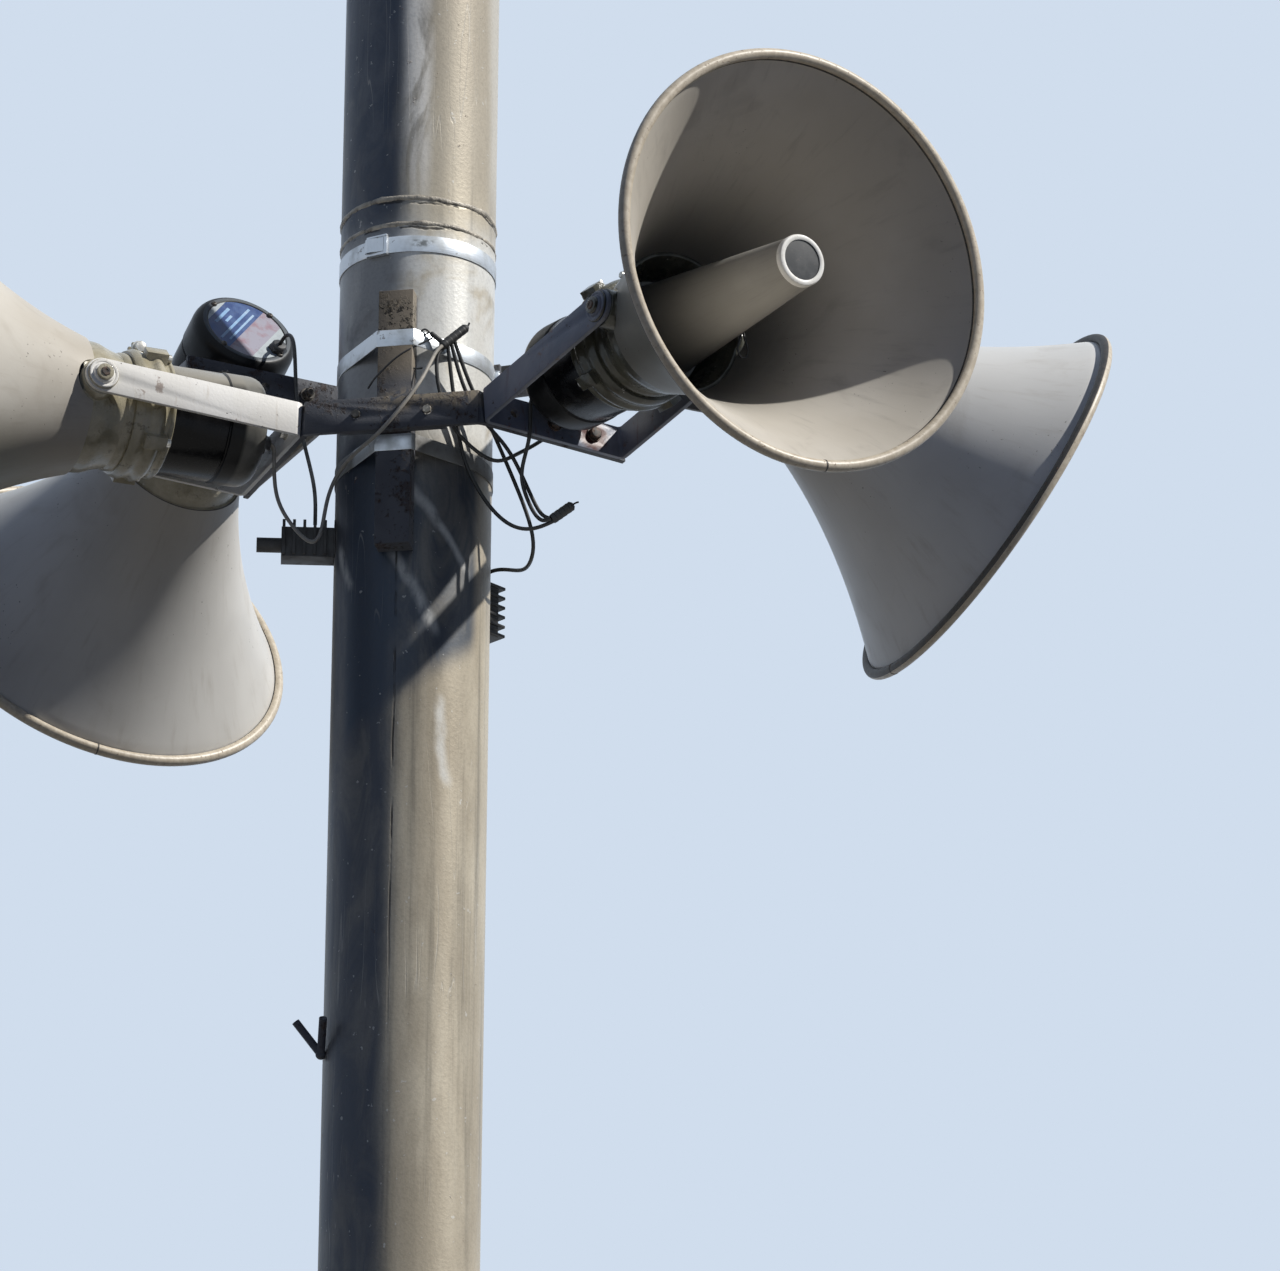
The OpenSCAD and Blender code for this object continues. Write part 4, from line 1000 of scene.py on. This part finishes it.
def addFrameParts():
    for nodes, finish, slot, width in softNodes:
        for node in nodes:
            softened(node, finish, "pole", width)
    for letter, horn in horns.items():
        coats = {"bracket": horn["bracket"], "neck": horn["cast"], "ring": horn["cast"],
                 "driver": "driver" + letter.upper()}
        for part, width in softWidths.items():
            slot = "cast_paint" if part in ("neck", "ring") else part + "_paint"
            body = "pole" if part == "bracket" else "horn_" + letter
            softened(part + "_" + letter, coats[part], body, width)


addFrameParts()
print("frame parts finished")


# the pole's tubes and the short ring between them, with weld beads; millimetres
poleSizes = {"outer": 88.9, "inner": 82.9, "foot": 20, "ringFrom": 5650, "ringTo": 5685, "top": 7100,
             "steps": 192}
weldSizes = {"bead": 4.6, "ripple": 5.2, "wander": 6.0, "pitch": 55.0, "sunk": 3.0}


# a geometry tree that lays a lumpy weld bead round the pole
def weldPlan():
    plan = Plan("weldBead", [("Radius", "Float", 0.09), ("Height", "Float", 0.0), ("Bead", "Float", 0.003),
                             ("Ripple", "Float", 0.002), ("Wander", "Float", 0.002), ("Pitch", "Float", 90.0),
                             ("Seed", "Int", 1)])
    seed = plan.given("Seed")
    circle = plan.add("GeometryNodeCurvePrimitiveCircle", {},
                      {"Resolution": 420, "Radius": plan.given("Radius")})
    here = plan.add("GeometryNodeInputPosition")
    drift = plan.add("ShaderNodeTexNoise", {"noise_dimensions": "4D"},
                     {"Vector": here, "W": seed, "Scale": plan.given("Pitch") * 0.3, "Detail": 3.0})
    lift = plan.given("Height") + (drift - 0.5) * plan.given("Wander")
    raised = plan.add("GeometryNodeSetPosition", {}, {
        "Geometry": circle, "Offset": plan.add("ShaderNodeCombineXYZ", {}, {"Z": lift})})
    section = plan.add("GeometryNodeCurvePrimitiveCircle", {}, {"Resolution": 12, "Radius": plan.given("Bead")})
    bead = plan.add("GeometryNodeCurveToMesh", {}, {"Curve": raised, "Profile Curve": section})
    lump = plan.add("ShaderNodeTexNoise", {"noise_dimensions": "4D"},
                    {"Vector": here, "W": seed + 7, "Scale": plan.given("Pitch"), "Detail": 4.0,
                     "Roughness": 0.65})
    push = plan.add("ShaderNodeVectorMath", {"operation": "SCALE"}, {
        "Vector": plan.add("GeometryNodeInputNormal"), "Scale": (lump - 0.5) * plan.given("Ripple")})
    lumpy = plan.add("GeometryNodeSetPosition", {}, {"Geometry": bead, "Offset": push})
    plan.end(plan.add("GeometryNodeSetShadeSmooth", {}, {"Geometry": lumpy}))
    return plan


def addPole():
    p, w = poleSizes, weldSizes
    for name, node, low, high in (("lowerTube", "lower_pole", p["foot"], p["ringFrom"]),
                                  ("jointRing", "joint_ring", p["ringFrom"], p["ringTo"]),
                                  ("upperTube", "upper_pole", p["ringTo"], p["top"])):
        tube = spun([(p["outer"], low), (p["outer"], high), (p["inner"], high), (p["inner"], low)], p["steps"])
        newPiece(name, meshFrom(name, *tube, Matrix.Scale(mm, 4)), "pole", "pole", [node])
    plan = weldPlan()
    blank = bpy.data.meshes.new("blank")
    beads = {"upperWeld": (p["ringTo"] - 1, 1.0, 1), "lowerWeld": (p["ringFrom"] + 2, 0.9, 5),
             "footWeld": (p["foot"] + 1, 1.7, 9)}
    for name, (height, size, seed) in beads.items():
        mesh = plan.grow(blank, ["weld"], {
            "Radius": (p["outer"] - w["sunk"]) * mm, "Height": height * mm, "Pitch": w["pitch"], "Seed": seed,
            **{label: w[label.lower()] * size * mm for label in ("Bead", "Ripple", "Wander")}})
        newPiece(name, turnedOut(mesh), None, "pole")


addPole()
print("pole welded")


# fasteners, in millimetres, each standing on the face that it is tightened against;
# a point is (radius, height), and after a mark a fourth value gives its ring corners
fastenerShapes = {
    "hexBolt": [(0, -0.6), (9, -0.6), (9, 1.4), (8.6, 1.7), (7.5, 1.7, 0, 6), (7.5, 6.3, 0, 6), (6.4, 7.2),
                (5.8, 7.4), (0, 7.2)],
    "hexNut": [(0, -0.6), (9, -0.6), (9, 1.4), (8.6, 1.7), (6.8, 1.9), (7.5, 2.5, 0, 6), (7.5, 7.6, 0, 6),
               (6.4, 8.4), (4.2, 8.4), (4.0, 8.2), (4.0, 12.0), (3.4, 12.8), (0, 12.8)],
    "pivotHead": [(0, -0.4), (17.2, -0.4), (17.2, 0.9), (16.4, 1.5), (14.6, 1.5), (13.8, 0.7), (12.4, 0.7),
                  (11.8, 2.4), (10.8, 3.2), (8.4, 3.2), (7.6, 2.4), (7.2, 1.0), (0, 1.0)],
    "pivotCore": [(0, 6.8), (5.6, 6.8, 0, 6), (5.6, 7.7, 0, 6), (4.8, 8.3), (2.4, 8.3), (2.2, 7.7), (0, 7.7)],
    "stripBolt": [(0, -0.6), (5.2, -0.6, 0, 6), (5.2, 3.2, 0, 6), (4.4, 4.0), (0, 4.0)],
    "socketScrew": [(0, -0.4), (4.9, -0.4), (4.9, 5.2), (4.3, 5.8), (2.6, 5.8), (2.4, 5.6, 0, 6),
                    (2.4, 3.4, 0, 6), (0, 3.4)],
    "panScrew": [(0, -0.4), (3.6, -0.4), (3.6, 0.8), (3.0, 1.9), (1.9, 2.5), (1.3, 2.5, 0, 4),
                 (1.1, 1.6, 0, 4), (0, 1.5)],
    "glandNut": [(0, 0.1), (11.2, 0.1, 0, 6), (11.2, 4.4, 0, 6), (9.4, 5.4), (9.0, 8.2), (7.6, 9.6),
                 (3.4, 10.2), (0, 10.2)],
    "anchorNut": [(0, -1), (22, -1), (22, 3.2), (21.4, 4), (20.6, 4, 0, 6), (20.6, 22, 0, 6), (18, 23.4),
                  (12.2, 23.4), (12, 23), (12, 47), (10.6, 49), (0, 49)]}
# pivot heads aren't named here: they were painted with the bracket
fastenerFinish = {"hexBolt": "zinc", "hexNut": "zinc", "pivotCore": "core", "stripBolt": "dullZinc",
                  "socketScrew": "zinc", "panScrew": "darkBolt", "glandNut": "gland", "anchorNut": "zinc",
                  "darkHexBolt": "core", "darkHexNut": "darkBolt", "darkStripBolt": "darkBolt"}
fastenerSpots = {"ringScrewR": 73, "ringScrewUp": 8, "backScrewR": 50.6, "lugOut": 4, "lugHalf": 9, "lugUp": 26,
                 "stripFace": -126.2, "stripBoltX": 41, "rearRise": 137, "rearTurn": 172, "nutFace": -6,
                 "anchor": 160, "capScrewR": 92.2, "capScrewZ": 7076}
quarters = [math.radians(45 + 90 * i) for i in range(4)]


# a geometry tree that sets a fastener on every point, along the point's own direction, turned at random
def fastenerPlan():
    plan = Plan("fasteners", [("Shape", "Object", None), ("Turn Seed", "Int", 3)])
    points = plan.given("Geometry")
    facing = plan.add("FunctionNodeAlignRotationToVector", {"axis": "Z"},
                      {"Vector": plan.attribute("facing", "FLOAT_VECTOR")})
    shape = plan.add("GeometryNodeObjectInfo", {}, {"Object": plan.given("Shape")}, "Geometry")
    instances = plan.add("GeometryNodeInstanceOnPoints", {},
                         {"Points": points, "Instance": shape, "Rotation": facing})
    turn = plan.add("FunctionNodeRandomValue", {"data_type": "FLOAT"},
                    {2: 0.0, 3: 2 * math.pi, 8: plan.given("Turn Seed")}, 1)
    spin = plan.add("ShaderNodeCombineXYZ", {}, {"Z": turn})
    plan.end(plan.add("GeometryNodeRotateInstances", {},
                      {"Instances": instances, "Rotation": spin, "Local Space": True}))
    return plan


# where they sit: (place, point, direction), the last two in that place's millimetres
def hornFasteners(letter):
    s, at, place = hornSizes, fastenerSpots, hornPlace(letter)
    back, ringBack = -s["neckBack"] - s["driverLen"], -s["neckBack"] - s["ringLen"]
    pivots = [(place, (0, side * s["pivotFace"], 0), (0, side, 0)) for side in (-1, 1)]
    glandAt = (s["glandDown"], horns[letter]["gland"] * s["glandAside"], back + 1)

    def lug(side):
        return [(place, (-s["ringR"] - at["lugOut"], side * at["lugHalf"], ringBack + at["lugUp"]), (0, side, 0))]

    def screws(reach, height):
        return [(place, (reach * math.cos(a), reach * math.sin(a), height), (0, 0, -1)) for a in quarters]
    return {"pivotHead": pivots, "pivotCore": pivots, "hexBolt": lug(1), "hexNut": lug(-1),
            "socketScrew": screws(at["ringScrewR"], ringBack + at["ringScrewUp"]),
            "panScrew": screws(at["backScrewR"], back), "glandNut": [(place, glandAt, (0, 0, -1))]}


def poleFasteners():
    at, scale, ahead = fastenerSpots, Matrix.Scale(mm, 4), (0, -1, 0)
    front, rear = stripPlace(), stripPlace(at["rearTurn"])
    x, face, rise, anchor = at["stripBoltX"], at["stripFace"], at["rearRise"], at["anchor"]
    found = {"stripBolt": [(front, (x, face, 0), ahead), (rear, (-x, face, rise), ahead),
                           (rear, (x, face, rise), ahead)],
             # the strip's left bolt is dark as painted shade; the right one is zinc
             "darkStripBolt": [(front, (-x, face, 0), ahead)],
             "hexBolt": [], "darkHexBolt": [], "darkHexNut": [],
             "panScrew": [(scale, (at["capScrewR"] * math.cos(a), at["capScrewR"] * math.sin(a), at["capScrewZ"]),
                           (math.cos(a), math.sin(a), 0)) for a in quarters],
             "anchorNut": [(scale, (x, y, poleSizes["foot"]), (0, 0, 1)) for x in (-anchor, anchor)
                           for y in (-anchor, anchor)]}
    for letter, horn in horns.items():
        # foot bolts on the shaded brackets take the dark rusty finish, rust and painted shade; on the sunlit pale
        # bracket they are zinc
        place, bolt = bracketPlace(letter), "hexBolt" if horn["bracket"] == "paleBracket" else "darkHexBolt"
        for i in horn["footBolts"]:
            y = i * hornSizes["footPitch"]
            found[bolt].append((place, (hornSizes["barT"], y, 0), (1, 0, 0)))
            found["darkHexNut"].append((place, (at["nutFace"], y, 0), (-1, 0, 0)))
    return found


def addFasteners():
    plan, shapes = fastenerPlan(), {}
    for kind, outline in fastenerShapes.items():
        outline = [point if len(point) > 2 else point + (0,) for point in outline]
        shapes[kind] = placed(kind, meshFrom(kind, *spun(outline, 24), Matrix.Scale(mm, 4)))
    sets = {"pole": poleFasteners(), **{"horn_" + letter: hornFasteners(letter) for letter in horns}}
    for number, (body, kinds) in enumerate(sets.items()):
        tag = "" if body == "pole" else body[-1].upper()
        for kind, spots in kinds.items():
            mesh = bpy.data.meshes.new(kind)
            mesh.from_pydata([place @ Vector(point) for place, point, ahead in spots], [], [])
            facing = mesh.attributes.new("facing", "FLOAT_VECTOR", "POINT")
            ahead = [(place.to_3x3() @ Vector(ahead)).normalized() for place, point, ahead in spots]
            facing.data.foreach_set("vector", [value for direction in ahead for value in direction])
            shape = shapes[kind.replace("darkHex", "hex").replace("darkStrip", "strip")]
            finish = fastenerFinish.get(kind) or horns[body[-1]]["bracket"]
            result = plan.grow(mesh, [finish], {"Shape": shape, "Turn Seed": number + 3})
            slot = "lead_rubber" if kind == "glandNut" else "stainless_band"
            newPiece(kind + "s" + tag, result, None, body)
    for shape in shapes.values():
        bpy.data.objects.remove(shape)


addFasteners()
print("fasteners set")


# the plate on the back of driver d: plain fields and bars with nothing written, in millimetres across it
# fields are (low, high, finish), bars (height, from, to, width)
backPlate = {"r": 50.0, "t": 0.9, "turn": 36.1, "barOver": 0.15, "barUnder": 0.2, "seat": 1.5,
             "fields": [(-50, -27, "plateWhite"), (-27, 0.8, "plateRose"), (0.8, 42, "plateBlue"),
                        (42, 50, "plateWhite")],
             "bars": [(33.6, -17, 20, 4.0), (25.0, -7, 8, 3.4), (15.4, -38, 41, 3.2), (6.7, -33, 35, 2.6)]}


def addBackPlate():
    b, parts, names = backPlate, [], ["plateWhite", "plateRose", "plateBlue", "plateLine"]
    for low, high, name in b["fields"]:
        edge = [low + (high - low) * i / 16 for i in range(17)]
        half = [math.sqrt(max(b["r"] ** 2 - q * q, 0.01)) for q in edge]
        outline = list(zip(half, edge)) + [(-w, q) for w, q in reversed(list(zip(half, edge)))]
        parts.append(slabPart(outline, -b["t"], 0, names.index(name)))
    for q, start, stop, wide in b["bars"]:
        bar = oblong(start, stop, q - wide / 2, q + wide / 2)
        parts.append(slabPart(bar, -b["t"] - b["barOver"], -b["t"] + b["barUnder"], names.index("plateLine")))
    back = Matrix.Translation((0, 0, -hornSizes["neckBack"] - hornSizes["driverLen"] + b["seat"]))
    place = hornPlace("d") @ back @ Matrix.Rotation(math.radians(b["turn"]), 4, "Z")
    newPiece("backPlate", meshFrom("backPlate", *joined(parts), place), names, "horn_d")


addBackPlate()


# the folded tail of each band at its buckle: angle, height over the strip and the tail's side; millimetres
bandTails = {"upper": (-108, 226, 1), "middle": (20, 97, 1), "lower": (160, -32, -1)}
tailLine = [(93.0, -14.5), (96.5, -14.0), (98.6, -10.5), (98.0, -5), (96.2, 1), (95.4, 9)]
bandSizes = {"half": 8.5, "t": 0.9, "lip": (89.8, 95.2, -13, 13), "lipFrom": 10.4, "lipTo": 12.2}


def addBandTails():
    b, parts = bandSizes, []
    for turn, rise, side in bandTails.values():
        outer = [(x, y * side) for x, y in tailLine]
        inner = [(x - b["t"], y) for x, y in outer]
        for i in range(len(outer) - 1):
            fold = slabPart([inner[i], outer[i], outer[i + 1], inner[i + 1]], rise - b["half"], rise + b["half"])
            parts.append(movedPart(fold, stripPlace(turn)))
        for edge in (-1, 1):                           # the seal's two lips, pressed over the band
            low, high = sorted((rise + edge * b["lipFrom"], rise + edge * b["lipTo"]))
            parts.append(movedPart(slabPart(oblong(*b["lip"]), low, high), stripPlace(turn)))
    newPiece("bandTails", meshFrom("bandTails", *joined(parts), angle=50), "band", "pole")


addBandTails()
print("plate and bands finished")


# floor, light and background; angles in degrees
stageValues = {"floorR": 9.0, "floorT": 0.02, "floorDown": 0.001, "floorTone": "E9E8E4", "floorPatch": "E2E1DC",
               "floorShade": "56524A", "skyTone": "D0DDED", "fillTone": "A2BEF4", "fill": 0.135, "sunTurn": 85,
               "sunRise": 42.8, "sunPower": 4.3, "sunSpread": 1.0, "sunColour": (1.0, 0.97, 0.92)}


# 1 where the background itself is seen: by the camera, in something glossy or through something clear
def seenDirectly(sheet):
    seen = sheet.add("ShaderNodeLightPath", out="Is Camera Ray")
    outputs = seen.socket.node.outputs
    for kind in ("Glossy", "Transmission"):
        seen = seen + Wire(sheet, outputs["Is " + kind + " Ray"])
    return sheet.add("ShaderNodeClamp", {}, [seen])


def addFloor():
    v, f = stageValues, Finish("floorPaint")
    f.ground(f.cloud(2.0, 3), v["floorTone"], v["floorPatch"])
    f.colour = f.mix(seenDirectly(f), tone(v["floorShade"]), f.colour)
    f.paint(0.9)
    reach, under = v["floorR"], -v["floorT"]
    mesh = meshFrom("floor", *spun([(0, 0), (reach, 0), (reach, under), (0, under)], 96))
    mesh.materials.append(f.material)
    mesh.transform(Matrix.Translation((0, 0, -v["floorDown"])))
    placed("floor", mesh)


def addWorld():
    v, world = stageValues, bpy.data.worlds.new("studio")
    world.use_nodes = True
    bpy.context.scene.world = world
    sheet = Sheet(world.node_tree)
    fill = sheet.add("ShaderNodeBackground", {}, [tone(v["fillTone"]), v["fill"]])
    shown = sheet.add("ShaderNodeBackground", {}, [tone(v["skyTone"]), 1.0])
    both = sheet.add("ShaderNodeMixShader", {}, [seenDirectly(sheet), fill, shown])
    sheet.add("ShaderNodeOutputWorld", {}, [both])


def addSun():
    v = stageValues
    turn, rise = math.radians(v["sunTurn"]), math.radians(v["sunRise"])
    toSun = Vector((math.sin(turn) * math.cos(rise), -math.cos(turn) * math.cos(rise), math.sin(rise)))
    lamp = bpy.data.lights.new("key", "SUN")
    lamp.energy, lamp.angle, lamp.color = v["sunPower"], math.radians(v["sunSpread"]), v["sunColour"]
    placed("key", lamp).matrix_world = toSun.to_track_quat("Z", "Y").to_matrix().to_4x4()


addFloor()
addWorld()
addSun()
bpy.context.scene.view_settings.view_transform = "Standard"
print("stage lit")
